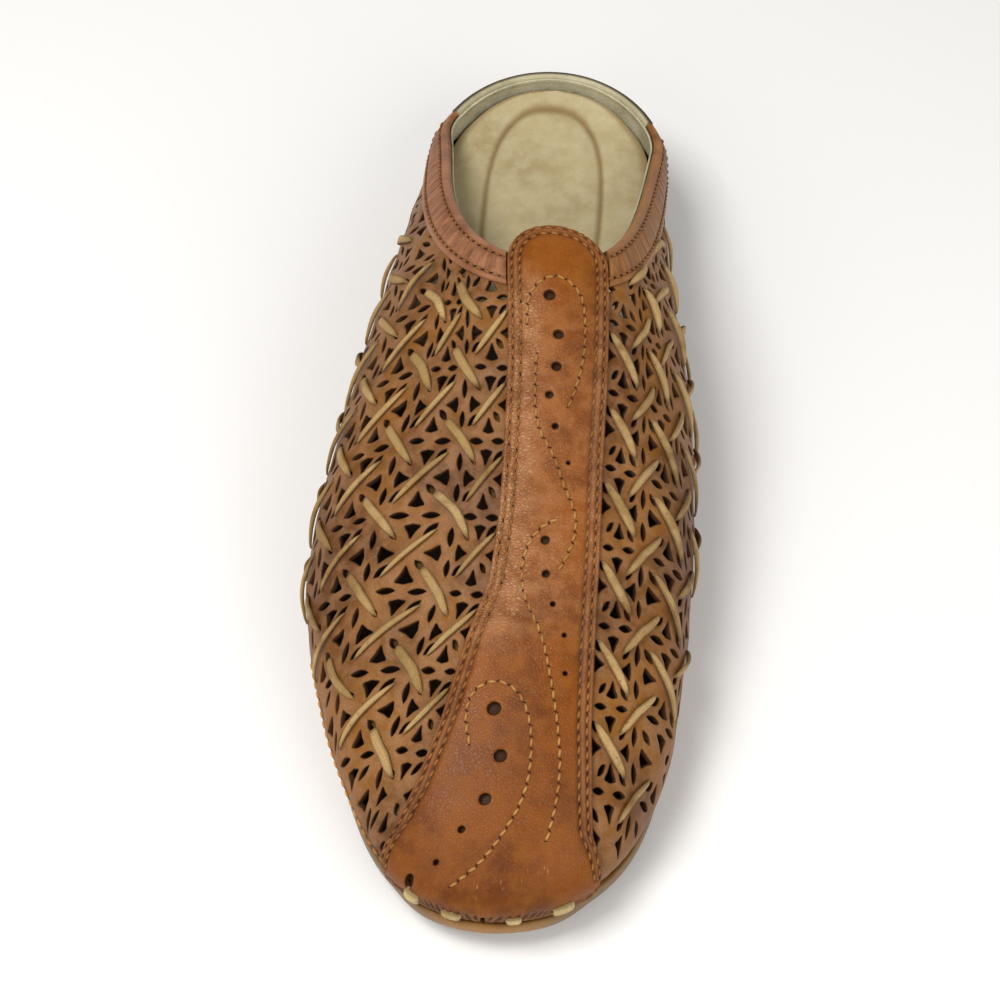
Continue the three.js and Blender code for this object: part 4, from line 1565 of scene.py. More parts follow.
@dataclass
class Laces:
    """The flat laces woven through one panel: over the crossings of one slant, under those of the other."""

    panel: Panel
    thick: float = 0.95
    steps: int = 19
    ring: int = 10
    seed: int = 21
    span: float = 0.3
    rest: float = 0.22
    dip: float = 1.3
    under_gap: float = 0.55
    thin_end: float = 0.35
    narrow_end: float = 0.12

    def height(self, cut: LaceCut, rise: Array, swell: Array) -> Array:
        """Height of the laces: an arch over the wall that dips at both ends, or a sag under it.

        Args:
            cut: The laces' form.
            rise: Rise of each lace (n, 1).
            swell: Swell of the wall along each lace (n, steps).

        Returns:
            Heights over the form (n, steps).
        """
        w = np.abs(np.linspace(-1.0, 1.0, self.steps))
        if cut.outside:
            return swell + self.rest + rise * (1.0 - w**2.4) - self.dip * smooth(w, 0.86, 1.0)
        return -self.panel.wall - self.under_gap + self.dip * smooth(w, 0.5, 1.0) + np.zeros_like(rise)

    def leaf(self, cut: LaceCut) -> Array:
        """Share of the full width along a lace: a leaf with two tips, or with one blunt end.

        Args:
            cut: The laces' form.

        Returns:
            Shares (steps).
        """
        w = np.linspace(-1.0, 1.0, self.steps)
        leaf = np.clip(1.0 - np.abs(w) ** 2.5, 0.0, 1.0) ** 0.72
        if cut.blunt:
            leaf = np.where(w > 0, np.clip(1.0 - np.abs(w) ** 8, 0.0, 1.0) ** 0.5, leaf)
        return np.maximum(leaf, self.narrow_end)

    def runs(self, cut: LaceCut) -> Array:
        """Points of the laces over, or under, one set of crossings.

        A lace is a flat rounded profile carried along a lattice diagonal. It arches over the wall, narrows
        like a leaf, and dips into a slit at each end.

        Args:
            cut: The laces' form.

        Returns:
            Points (laces, steps, ring, 3).
        """
        lattice, last = self.panel.lattice, self.panel.shop.last
        rng = np.random.default_rng(self.seed + int(10 * cut.shift) + (5 if cut.outside else 0))
        i, j = (cells[:, None] + cut.shift for cells in lattice.cells())
        span = np.array([-1.0, 0.0, 1.0]) * self.span
        keep = self.panel.clear(np.stack([i + span, j + cut.slant * span], -1), True)
        i, j, n = i[keep], j[keep], keep.sum()
        w = np.linspace(-1.0, 1.0, self.steps)
        length = cut.reach * rng.uniform(0.94, 1.05, n)[:, None] * w
        bow = rng.normal(0.0, 0.012, n)[:, None] * (1.0 - w**2)
        rise = cut.rise * rng.uniform(0.85, 1.2, n)[:, None]
        turn = (cut.tilt + rng.normal(0.0, 0.14, n))[:, None, None] * (1.0 - 0.5 * w[None, :, None] ** 2)
        wide = cut.width * rng.uniform(0.9, 1.08, n)[:, None] * self.leaf(cut)
        deep = self.thick * (self.thin_end + (1.0 - self.thin_end) * self.leaf(cut))
        s, girth = lattice.place(i + length + bow, j + cut.slant * (length - bow))
        t = lattice.chart.over(s, girth)
        middle = last.skin(s, t, self.height(cut, rise, self.panel.lift(lattice.chart.run(s), girth)))
        along = unit(np.gradient(middle, axis=1))
        across = unit(np.cross(along, last.normal(s, t)))
        up = np.cross(across, along)
        across, up = across * np.cos(turn) + up * np.sin(turn), up * np.cos(turn) - across * np.sin(turn)
        angle = np.linspace(0.0, 2.0 * math.pi, self.ring, endpoint=False)
        flat = np.sign(np.cos(angle)) * np.abs(np.cos(angle)) ** 0.6
        tall = np.sign(np.sin(angle)) * np.abs(np.sin(angle)) ** 0.8
        side = across[:, :, None] * (wide[..., None] * flat / 2.0)[..., None]
        return middle[:, :, None] + side + up[:, :, None] * (deep[:, None] * tall / 2.0)[None, ..., None]

    def build(self) -> None:
        """Weave the laces outside and inside as one mesh, with painted shade at the slits and on all the
        laces under the wall, and each worn by itself.
        """
        cuts = LACE_CUTS[self.panel.side]
        parts = [self.runs(cut) for cut in cuts]
        points = np.concatenate(parts)
        outside = np.repeat([cut.outside for cut in cuts], [len(part) for part in parts])
        w = np.abs(np.linspace(-1.0, 1.0, self.steps))[:, None]
        angle = np.linspace(0.0, 2.0 * math.pi, self.ring, endpoint=False)
        # Painted shade: darker towards the slits, under each lace and on its flanks; the laces under the wall
        # are all dark.
        under = np.maximum(0.6 * (np.sin(angle) < -0.2), 0.4 * (np.abs(np.cos(angle)) > 0.75))
        shade = np.maximum(0.8 * smooth(w, 0.68, 1.0), under[None, :])
        shade = np.where(outside[:, None, None], shade[None], 1.0)
        dull = np.random.default_rng(self.seed).uniform(0.0, LACE_DULLEST[self.panel.side], len(points))
        values = {"shade": shade, "wear_and_painted_light": np.broadcast_to(dull[:, None, None], shade.shape)}
        faces = bar_faces(self.steps, self.ring, len(points))
        name, finish = "laces_" + self.panel.side.name.lower(), self.panel.shop.finishes["lace_leather"]
        add_piece(name, points, faces, finish, ["upper"], values, 80.0)


@dataclass(frozen=True)
class Crease:
    """A soft trough across the leather, with a ridge on each flank, placed by station and girth."""

    s: float
    girth: float
    turn: float
    reach: float
    width: float
    depth: float

    def lift(self, s: Array, girth: Array) -> Array:
        """Height of the crease: a trough along its line, faded towards its ends, with low ridges beside it.

        Args:
            s: Stations.
            girth: Signed girths from the ridge.

        Returns:
            Heights to add to the leather.
        """
        flank, ridge_share, bend = 1.9 * self.width, 0.6, 0.04
        c, d = math.cos(math.radians(self.turn)), math.sin(math.radians(self.turn))
        along = (girth - self.girth) * c + (s - self.s) * d
        off = (s - self.s) * c - (girth - self.girth) * d + bend * along**2 / max(self.reach, 1.0)
        fade = np.clip(1.0 - (along / self.reach) ** 2, 0.0, 1.0)
        ridges = bell(off - flank, self.width) + bell(off + flank, self.width)
        return self.depth * fade * (ridge_share * ridges - bell(off, self.width))


@dataclass(frozen=True)
class Punch:
    """A punched hole in the strip: station, signed girth from the ridge, and diameter."""

    s: float
    girth: float
    size: float


@dataclass
class CentreStrip:
    """The smooth strip over the instep and toe, with punched holes, sewn edges and free-hand stitch lines."""

    shop: Workshop
    tab_end: float = 93.5
    tab_round: float = 12.5
    tab_power: float = 2.2
    tab_reach: float = 16.0
    tip_gap: float = 0.004
    foot: float = 1.72
    base: float = 0.2
    thick: float = 1.5
    edge_round: float = 0.7
    edge_share: float = 0.42
    rows: tuple[float, float] = (1.35, 3.35)
    row_widths: tuple[float, float] = (0.4, 0.45)
    row_depth: float = 0.42
    row_shade: float = 0.58
    row_end: float = 251.0
    rib: float = 2.35
    rib_height: float = 0.22
    crown: float = 0.12
    fine_height: float = 0.09
    hole_dip: float = 0.25
    hole_shade: float = 0.9
    inner_shade: float = 0.6
    instep_end: float = 150.0
    instep_dull: float = 0.26
    toe_dull: float = 0.08
    punches: tuple[Punch, ...] = (
        Punch(116, -0.7, 2.8), Punch(126, 1.6, 2.4), Punch(134, 1.4, 2.3), Punch(141, 0, 1.9),
        Punch(148.5, 1.8, 1.5), Punch(157, 5.4, 1.0), Punch(176, 1.3, 2.1), Punch(184, 2.2, 1.8),
        Punch(191, 4.6, 1.3), Punch(198, 8.1, 1.0), Punch(207, 9.3, 1.0), Punch(216.5, -6.1, 3.1),
        Punch(227, -3.1, 2.9), Punch(236.5, -5.1, 2.6), Punch(243, -9.3, 1.5), Punch(249.5, -13.8, 1.2),
        Punch(251.9, -20.0, 2.4),
    )
    lines: tuple[tuple[tuple[float, float], ...], ...] = (
        ((124, -5.8), (120, -6), (114, -4.2), (111, 1), (114.5, 6.2), (121, 7.8), (135, 7.1), (144, 4.6)),
        ((131, -3.5), (140, -3.4), (150, -1.6), (155, 1.4), (163, 4.9), (169, 7.6), (176, 7.7), (182.5, 5.3)),
        (
            (170.5, 4.1), (174, -0.5), (180, -3.2), (188, -2.7), (197.5, 2.2), (206, 5.3), (218.5, 8.8),
            (226, 10.4), (237, 11), (243, 10.4),
        ),
        (
            (225, -10.4), (218.5, -12.3), (212.5, -10.9), (210.3, -6.1), (212.6, -1.1), (219, 2.5),
            (227, 3.9), (235.5, 3.4), (243.5, 0.2), (250, -4.2), (254.5, -10),
        ),
    )
    creases: tuple[Crease, ...] = (
        Crease(167, -2, 12, 9, 0.7, 0.22), Crease(171, 3, -6, 10, 0.8, 0.28),
        Crease(176, -4, 8, 8, 0.7, 0.26), Crease(180, 4, -10, 9, 0.8, 0.24),
        Crease(184.5, -3, 6, 9, 0.9, 0.3), Crease(189, 2, -4, 11, 0.8, 0.26),
        Crease(194, -4, 10, 10, 0.9, 0.24), Crease(199, 5, -8, 9, 0.9, 0.2),
        Crease(152, -6, 14, 5, 0.7, 0.2), Crease(143, -7, -10, 4.5, 0.6, 0.2),
        Crease(134, -7.5, 8, 4, 0.6, 0.18), Crease(127, -7.5, -6, 4, 0.6, 0.16),
        Crease(160, 8, 10, 5, 0.7, 0.2),
    )
    scratched: tuple[tuple[float, float, float, float], ...] = (
        (252.5, 0.5, 2.2, 0.9), (254.0, 3.2, 2.0, 0.8), (254.5, -3.0, 1.6, 0.8), (251.0, 7.4, 2.8, 1.1),
        (250.0, 11.0, 1.6, 1.2),
    )
    ridge: Array = field(init=False)
    stations: Array = field(init=False)

    def __post_init__(self) -> None:
        """Measure the run along the ridge, which is the strip's long chart axis."""
        last = self.shop.last
        ahead = np.sin(np.linspace(0.0, math.pi / 2.0, 700))
        self.stations = self.tab_end + (last.length - self.tip_gap - self.tab_end) * ahead
        self.ridge = along_path(last.point(self.stations, np.zeros_like(ahead)))

    def station(self, run: Array) -> Array:
        """Station at a run along the ridge."""
        return np.interp(run, self.ridge, self.stations)

    def run(self, s: Array) -> Array:
        """Run along the ridge at a station."""
        return np.interp(s, self.stations, self.ridge)

    def narrowed(self, back: Array) -> Array:
        """Share of the width at a share of the tab's rounding, on a superellipse."""
        return (1.0 - back**self.tab_power) ** (1.0 / self.tab_power)

    def half(self, s: Array, side: Side) -> Array:
        """Girth of one edge: the strip's table, rounded at the tab and stopped short of the sole.

        Args:
            s: Stations.
            side: Which side.

        Returns:
            Girths from the ridge.
        """
        back = np.clip((self.tab_end + self.tab_round - s) / self.tab_round, 0.0, 1.0)
        lowest = self.shop.charts[side].girth(s, np.full_like(s, self.foot))
        return np.minimum(self.shop.last.strip_edge(s, side) * self.narrowed(back), lowest)

    def section(self, girth: Array, s: Array) -> Array:
        """Section coordinate at a signed girth from the ridge.

        Args:
            girth: Signed girths, negative on the lateral side.
            s: Stations.

        Returns:
            Section coordinates.
        """
        left = self.shop.charts[Side.LATERAL].over(s, np.maximum(-girth, 0.0))
        right = self.shop.charts[Side.MEDIAL].over(s, np.maximum(girth, 0.0))
        return np.where(girth < 0, left, right)

    def tab_stations(self, count: int) -> Array:
        """Stations along the tab's rounding, close together at its end."""
        return self.tab_end + self.tab_round * (1.0 - np.cos(np.linspace(0.0, math.pi / 2.0, count)))

    def outline(self) -> Array:
        """Chart outline: the left edge towards the toe, the tip, and the right edge back to the tab.

        Returns:
            Run along the ridge and signed girth of each place.
        """
        step, tab_count, tip_count = 0.8, 26, 16
        start = self.tab_stations(tab_count)
        body = self.station(np.arange(self.run(start[-1]) + step, self.ridge[-1], step))
        s = np.concatenate([start, body, self.stations[-1:]])
        run = self.run(s)
        left, right = -self.half(s, Side.LATERAL), self.half(s, Side.MEDIAL)
        across = np.linspace(left[-1], right[-1], tip_count)[1:-1]
        tip = np.stack([np.full_like(across, run[-1]), across], 1)
        return np.concatenate([np.stack([run, left], 1), tip, np.stack([run, right], 1)[:0:-1]])

    def from_edge(self, s: Array, girth: Array) -> Array:
        """Distance from the nearer long edge or the tab's end.

        Args:
            s: Stations.
            girth: Signed girths.

        Returns:
            Distances, 0 on the edge.
        """
        end_slack = 2.0
        side = np.minimum(girth + self.half(s, Side.LATERAL), self.half(s, Side.MEDIAL) - girth)
        on_tab = s < self.tab_end + self.tab_reach
        gap = np.where(on_tab, np.minimum(side, self.tab_gap(s, girth)), side)
        return np.maximum(np.minimum(gap, s - self.tab_end + end_slack), 0.0)

    def tab_gap(self, s: Array, girth: Array) -> Array:
        """Distance from the tab's rounded outline, as the nearest of many points along it.

        Args:
            s: Stations.
            girth: Signed girths.

        Returns:
            Distances, and a large one away from the tab.
        """
        count, far, slack = 60, 99.0, 1.0
        at = self.tab_stations(count)
        rim = np.concatenate([np.stack([at, side.value * self.half(at, side)], 1) for side in Side])
        places = np.stack([s, girth], -1).reshape(-1, 2)
        gap = np.full(len(places), far)
        near = places[:, 0] < self.tab_end + self.tab_reach + slack
        gap[near] = np.sqrt(((places[near][:, None] - rim[None]) ** 2).sum(-1).min(1))
        return gap.reshape(np.shape(s))

    def furrows(self, gap: Array) -> Array:
        """Two bell curves, one along each sewn row."""
        return sum(bell(gap - row, width) for row, width in zip(self.rows, self.row_widths))

    def lift(self, s: Array, girth: Array) -> Array:
        """Height of the outer face: a rounded edge, two sewn furrows with a rib between, and the creases.

        Args:
            s: Stations.
            girth: Signed girths.

        Returns:
            Heights over the form.
        """
        gap = self.from_edge(s, girth)
        edge = 1.0 - np.clip(1.0 - gap / self.edge_round, 0.0, 1.0) ** 2.2
        height = self.base + self.thick * (self.edge_share + (1.0 - self.edge_share) * edge)
        height = height - self.row_depth * self.furrows(gap) + self.rib_height * bell(gap - self.rib, 0.6)
        height = height + self.crown * smooth(gap, 3.6, 6.5)
        inside = smooth(gap, 3.0, 5.5)
        for crease in self.creases:
            height = height + crease.lift(s, girth) * inside
        fine = noise_1d((s + 0.3 * girth) / 3.4, 31) * 0.6 + noise_1d((s - 0.2 * girth) / 2.1, 32) * 0.4
        return height + self.fine_height * fine * self.rubbed_and_sheen(s, girth) * smooth(gap, 0.4, 1.4)

    def rubbed_and_sheen(self, s: Array, girth: Array) -> Array:
        """Where the strip is worn and finely wrinkled, and where its colour gets a painted sheen: its lateral
        flank and a belt behind the toe.

        Args:
            s: Stations.
            girth: Signed girths.

        Returns:
            Shares, 0 to 1.
        """
        belt_middle, belt_width, belt_share = 184.0, 14.0, 0.4
        flank = smooth(-girth, 0.5, 5.0) * smooth(s, 104.0, 118.0) * smooth(-s, -206.0, -188.0)
        belt = bell(s - belt_middle, belt_width) * smooth(-girth, -9.0, 0.0)
        return np.clip(flank + belt_share * belt, 0.0, 1.0)

    def scuffs(self, s: Array, girth: Array) -> Array:
        """Where the tip of the toe is scratched: a few small patches, each a bell curve along and across.

        Args:
            s: Stations.
            girth: Signed girths.

        Returns:
            Shares, 0 to 0.7.
        """
        patches = np.zeros_like(s)
        for at, off, long, wide in self.scratched:
            patches = patches + bell(s - at, long) * bell(girth - off, wide)
        return np.clip(0.9 * patches, 0.0, 0.7)

    def cut(self) -> tuple[Array, Array, Array]:
        """Cut the strip out of its chart: its outline, punched holes with two rings round each, and a grid.

        Returns:
            Chart places (n, 2), triangles (m, 3), and a mask of the places on a hole's rim.
        """
        ring_count, ring_gaps = 18, (0.3, 0.8)
        first_run, run_step, across_count, tip_room, grid_gap, same_place = 0.4, 0.75, 61, 0.3, 0.22, 0.02
        angle = np.linspace(0.0, 2.0 * math.pi, ring_count, endpoint=False)
        circle = np.stack([np.cos(angle), np.sin(angle)], 1)
        outline, holes, rings = self.outline(), [], []
        for punch in self.punches:
            centre, radius = np.array([self.run(punch.s), punch.girth]), punch.size / 2.0
            holes.append(centre + circle * radius)
            rings.extend(centre + circle * (radius + gap) for gap in ring_gaps)
        runs = np.arange(first_run, self.ridge[-1] - tip_room, run_step)
        run, share = np.meshgrid(runs, np.linspace(-1.0, 1.0, across_count), indexing="ij")
        s = self.station(run)
        bunch = np.sign(share) * (1.0 - (1.0 - np.abs(share)) ** 1.5)
        girth = bunch * np.where(share < 0, self.half(s, Side.LATERAL), self.half(s, Side.MEDIAL))
        grid = np.stack([run, girth], -1)[:, 1:-1].reshape(-1, 2)
        grid = grid[far_from(grid, np.concatenate([*holes, *rings, outline]), grid_gap)]
        points, faces = triangulate([outline, *holes], np.concatenate([*rings, grid]))
        return points, faces, ~far_from(points, np.concatenate(holes), same_place)

    def values(self, s: Array, girth: Array, hole: Array) -> dict[str, Array]:
        """Values for the finish: painted shade in the sewn furrows, along the seams and round the holes,
        darker towards the toe, worn places with a painted sheen, and scratches.

        Args:
            s: Stations.
            girth: Signed girths.
            hole: Mask of the places on a hole's rim.

        Returns:
            Painted shade, worn places with painted sheen, and fleck of the outer face and then of the inner
            one.
        """
        gap = self.from_edge(s, girth)
        # Painted shade: darker in the sewn furrows, round the punched holes and along the seams; also darker
        # towards the toe.
        shade = self.row_shade * self.furrows(gap) + self.hole_shade * hole
        shade = shade + 0.16 * smooth(s, 200.0, 236.0) + 0.14 * smooth(-gap, -4.6, -3.6)
        # Worn places: the flank and the belt, partly a painted sheen, and paler along the rib and the rounded
        # edge.
        rub_and_sheen = 0.46 * self.rubbed_and_sheen(s, girth) + 0.16 * smooth(s, 100.0, 130.0) * smooth(-s, -206.0, -186.0)
        rub_and_sheen = rub_and_sheen + 0.22 * bell(gap - self.rib, 0.5) + 0.25 * bell(gap - 0.5, 0.4)
        outer = {"shade": shade, "wear_and_painted_light": rub_and_sheen, "fleck": self.scuffs(s, girth)}
        # The inner face gets an even painted shade.
        inner = {"shade": self.inner_shade, "wear_and_painted_light": 0.0, "fleck": 0.0}
        both = {key: np.concatenate([outer[key], np.full_like(s, inner[key])]) for key in outer}
        return {key: np.clip(value, 0.0, 1.0) for key, value in both.items()}

    def build(self, edges: Stitches, lines: Stitches) -> None:
        """Lay the cut strip on the form and sew it.

        Args:
            edges: Where the stitches along its edges go.
            lines: Where the stitches of its free-hand lines go.
        """
        last, name = self.shop.last, "centre_strip"
        points, faces, hole = self.cut()
        s, girth = self.station(points[:, 0]), points[:, 1]
        t = self.section(girth, s)
        outer = last.skin(s, t, self.lift(s, girth) - self.hole_dip * hole)
        inner = last.skin(s, t, np.full_like(s, self.base))
        solid, quads = shell(faces, outer, inner)
        values, finish = self.values(s, girth, hole), self.shop.finishes["strip_leather"]
        add_piece(name + "_leather", solid, quads, finish, [name], values, 60.0)
        self.sew(edges, lines)

    def lay(self, places: Array) -> tuple[Array, Array]:
        """Points and normals on the outer face along a line.

        Args:
            places: Station and signed girth of each place.

        Returns:
            Points and unit normals (n, 3).
        """
        s, girth = places.T
        t = self.section(girth, s)
        return self.shop.last.skin(s, t, self.lift(s, girth)), self.shop.last.normal(s, t)

    def edge_row(self, gap: float) -> Array:
        """A line along both long edges and round the tab, a gap inside the outline.

        Args:
            gap: Distance from the edge.

        Returns:
            Station and signed girth of each place, from the lateral toe round the tab to the medial toe.
        """
        tab_count, body_count, tip_room = 60, 400, 4.0
        back = np.cos(np.linspace(0.0, math.pi / 2.0, tab_count))
        tab = self.tab_end + gap + (self.tab_round - gap) * (1.0 - back)
        runs = np.linspace(self.run(tab[-1]), self.ridge[-1] - tip_room, body_count)[1:]
        s = np.concatenate([tab, self.station(runs)])
        share = np.concatenate([self.narrowed(back), np.ones_like(runs)])
        halves = []
        for side in Side:
            inset = (self.half(np.maximum(s, tab[-1]), side) - gap) * share
            halves.append(np.stack([s, side.value * inset], 1)[(s < self.row_end) & (inset > 0.0)])
        return np.concatenate([halves[0][::-1], halves[1]])

    def sew(self, edges: Stitches, lines: Stitches) -> None:
        """Two rows along the whole edge and the free-hand lines, each a smooth curve through a few places.

        Args:
            edges: Where the stitches along the edges go.
            lines: Where the stitches of the free-hand lines go.
        """
        for gap in self.rows:
            edges.row(*self.lay(self.edge_row(gap)))
        for line in self.lines:
            knots = np.array(line, float)
            run = along_path(knots)
            fine = np.linspace(0.0, run[-1], 200)
            path = np.stack([Spline(run, column)(fine) for column in knots.T], 1)
            dull = self.instep_dull if knots[0, 0] < self.instep_end else self.toe_dull
            lines.row(*self.lay(path), dull=dull)


@dataclass
class Collar:
    """The edge of the opening: two wrinkled bands, the rolled rim at the back and the pale lining inside."""

    shop: Workshop
    wall: float = 1.5
    strip_gap: float = 0.3
    band_count: int = 420
    band_rows: tuple[float, float] = (2.2, 7.7)
    row_width: float = 0.35
    row_lift: float = 0.94
    wrinkle_depths: tuple[float, float] = (0.34, 0.2)
    band_finishes: tuple[str, str] = ("band_leather", "band_tan")
    band_profile: tuple[tuple[float, float], ...] = (
        (9.4, 0.1), (9.4, 0.6), (9.15, 0.95), (8.6, 1.1), (8.1, 1.05), (7.7, 0.88), (7.2, 1.05), (6.6, 1.2),
        (5.8, 1.25), (4.8, 1.25), (3.9, 1.22), (3.2, 1.15), (2.6, 1.02), (2.2, 0.86), (1.7, 1.0), (1.1, 0.98),
        (0.4, 0.7), (-0.05, 0.25), (-0.25, -0.4), (-0.2, -1.0), (0.1, -1.45), (0.7, -1.7), (1.6, -1.75),
        (1.6, -1.55), (0.6, -1.45), (0.25, -0.75), (0.6, 0.05),
    )
    rim_count: int = 90
    rim_overlap: float = 2.0
    rim_profile: tuple[tuple[float, float], ...] = (
        (0.15, -1.0), (0.7, -0.9), (0.75, -0.3), (0.6, 0.3), (0.2, 0.8), (-0.5, 1.0), (-1.1, 0.8),
        (-1.5, 0.3), (-1.65, -0.3), (-1.7, -0.9), (-1.35, -1.0), (-1.3, -0.2), (0.1, -0.1),
    )
    lining_count: int = 320
    lining_layers: int = 18
    lining_depth: float = 9.0
    lining_reach: float = 101.0
    lining_gap: float = 0.9
    lining_thick: float = 0.55
    lining_swell: float = 0.12

    def edge(self, k: Array, side: Side) -> tuple[Array, Array]:
        """Place on the collar edge, close together at the throat.

        Args:
            k: Place from the back corner (0) to the throat (1).
            side: Which side.

        Returns:
            Stations and section coordinates.
        """
        last = self.shop.last
        s = last.collar_back + (last.collar_front - last.collar_back) * np.sin(np.asarray(k) * math.pi / 2.0)
        return s, last.collar_t(s, side)

    def place(self, k: Array, depth: Array, side: Side) -> tuple[Array, Array, Array]:
        """Walk down the form from the collar edge, square to it.

        Args:
            k: Place along the collar.
            depth: Distance down from the edge; a negative one gives the edge itself.
            side: Which side.

        Returns:
            Station, section coordinate, and the direction down the form.
        """
        last, steps, nudge = self.shop.last, 4, 0.01
        k, depth = np.broadcast_arrays(np.asarray(k, float), np.asarray(depth, float))
        s, t = self.edge(k, side)
        before = last.point(*self.edge(np.maximum(k - nudge, 0.0), side))
        run = unit(last.point(*self.edge(np.minimum(k + nudge, 1.0), side)) - before)
        for _ in range(steps):
            down = -side.value * np.cross(run, last.normal(s, t))
            s, t = last.walk(s, t, down, np.maximum(depth, 0.0) / steps)
        return s, t, down

    def surface(self, k: Array, depth: Array, lift: Array, side: Side) -> Array:
        """Point at a place along the collar, a depth below its edge (or above it) and a lift off the form."""
        s, t, down = self.place(k, depth, side)
        return self.shop.last.skin(s, t, lift) - down * np.maximum(-np.asarray(depth), 0.0)[..., None]

    def taper(self, k: Array) -> Array:
        """Share of a band's full width: it narrows towards the back corner."""
        return 0.3 + 0.7 * smooth(k, 0.0, 0.16)

    def meets_strip(self, depth: Array, side: Side) -> Array:
        """Place along the collar where a line at each depth comes to the strip's edge.

        Args:
            depth: Distances down from the collar edge (n).
            side: Which side.

        Returns:
            Places along the collar (n).
        """
        k = np.linspace(0.5, 0.985, 300)[:, None]
        s, t, _ = self.place(k, depth[None, :], side)
        gap = self.shop.charts[side].girth(s, t) - self.shop.last.strip_edge(s, side)
        return k[np.argmax(gap < self.strip_gap, axis=0), 0]

    def wrinkles(self, run: Array, depth: Array, side: Side) -> Array:
        """Wrinkles across a band: two waves along it and one that leans.

        Args:
            run: Length along the band (n, 1).
            depth: Distance down from the collar edge (n, m).
            side: Which side.

        Returns:
            Heights of the wrinkles, about -1 to 1.
        """
        long = noise_1d(run / 4.1, 3 + side.value, 4) * 0.5
        short = noise_1d(run / 2.3, 9 + side.value, 3) * 0.35
        return long + short + noise_1d((run + 0.35 * depth) / 3.3, 5, 3) * 0.3

    def band(self, side: Side, stitches: Stitches) -> None:
        """A band: a flat profile that folds over the collar edge, carried along it, with wrinkles across.

        Args:
            side: Which side.
            stitches: Where its stitches go.
        """
        count, choice = self.band_count, list(Side).index(side)
        down, level = np.array(self.band_profile).T
        ends = self.meets_strip(np.maximum(down, 0.0), side)
        k = np.linspace(0.0, ends.mean(), count)
        depth = down[None, :] * self.taper(k)[:, None]
        run = along_path(self.surface(k, np.zeros(count), np.zeros(count), side))[:, None]
        wrinkle = self.wrinkles(run, depth, side)
        middle = smooth(depth, 2.3, 3.4) * smooth(-depth, -7.6, -6.4)
        outer = (level > 0.8)[None, :]
        lift = level[None, :] + self.wrinkle_depths[choice] * wrinkle * middle * outer
        lift = np.where(lift > 0, lift * (0.4 + 0.6 * smooth(k, 0.0, 0.1))[:, None], lift)
        points = self.surface(k[:, None] * ends[None, :] / ends.mean(), depth, lift, side)
        # Painted shade in the wrinkle troughs, along the sewn rows and under the fold; the wear and light
        # value is paler on the wrinkle crests, a painted highlight, and along the worn collar edge.
        creased = np.clip(0.4 * (0.25 - wrinkle) * middle, 0.0, 0.7)
        rows = 0.5 * sum(bell(depth - row, self.row_width) for row in self.band_rows) * outer
        worn_edge = 0.3 * bell(depth, 1.0) * (level > 0)[None, :]
        values = {
            "shade": np.clip(creased + rows + 0.1 * (level < -1.4)[None, :], 0.0, 1.0),
            "wear_and_painted_light": np.clip(0.5 * wrinkle * middle, 0.0, 0.5) + worn_edge,
        }
        faces = [face[:: -side.value] for face in tube_faces(count, len(level))]
        name, finish = "collar_band_" + side.name.lower(), self.shop.finishes[self.band_finishes[choice]]
        add_piece(name + "_leather", points, faces, finish, [name], values, 70.0)
        self.sew_band(side, stitches)

    def sew_band(self, side: Side, stitches: Stitches, count: int = 300) -> None:
        """Sew a row along each long edge of a band, up to the strip.

        Args:
            side: Which side.
            stitches: Where the stitches go.
            count: Places along a row.
        """
        last, first, end_gap = self.shop.last, 0.06, 0.004
        for row in self.band_rows:
            line = np.linspace(first, self.meets_strip(np.array([row]), side)[0] - end_gap, count)
            s, t, _ = self.place(line, row * self.taper(line), side)
            stitches.row(last.skin(s, t, np.full(count, self.row_lift)), last.normal(s, t))

    def round_path(self, reach: float, count: int) -> tuple[Array, Array]:
        """The collar edge from one side round the back to the other.

        Args:
            reach: Station of both ends.
            count: Number of places.

        Returns:
            Stations and section coordinates.
        """
        last = self.shop.last
        end = float(last.share(reach))
        u = np.linspace(-end, end, count)
        s = last.station(np.abs(u))
        return s, np.where(u < 0, last.collar_t(s, Side.LATERAL), last.collar_t(s, Side.MEDIAL))

    def rim(self) -> None:
        """The rolled rim: a rounded profile on the level top of the back wall."""
        last = self.shop.last
        s, t = self.round_path(last.collar_back + self.rim_overlap, self.rim_count)
        out = unit(last.normal(s, t) * [1.0, 1.0, 0.0])
        profile = np.array(self.rim_profile)
        rise = profile[None, :, 1:] * [0.0, 0.0, 1.0]
        points = last.point(s, t)[:, None] + out[:, None] * profile[None, :, :1] + rise
        faces = [face[::-1] for face in tube_faces(self.rim_count, len(profile))]
        values = {"shade": np.tile(smooth(profile[:, 0], -1.2, -0.3), self.rim_count)}
        name, finish = "heel_rim", self.shop.finishes["rim_leather"]
        add_piece(name + "_leather", points, faces, finish, [name], values)

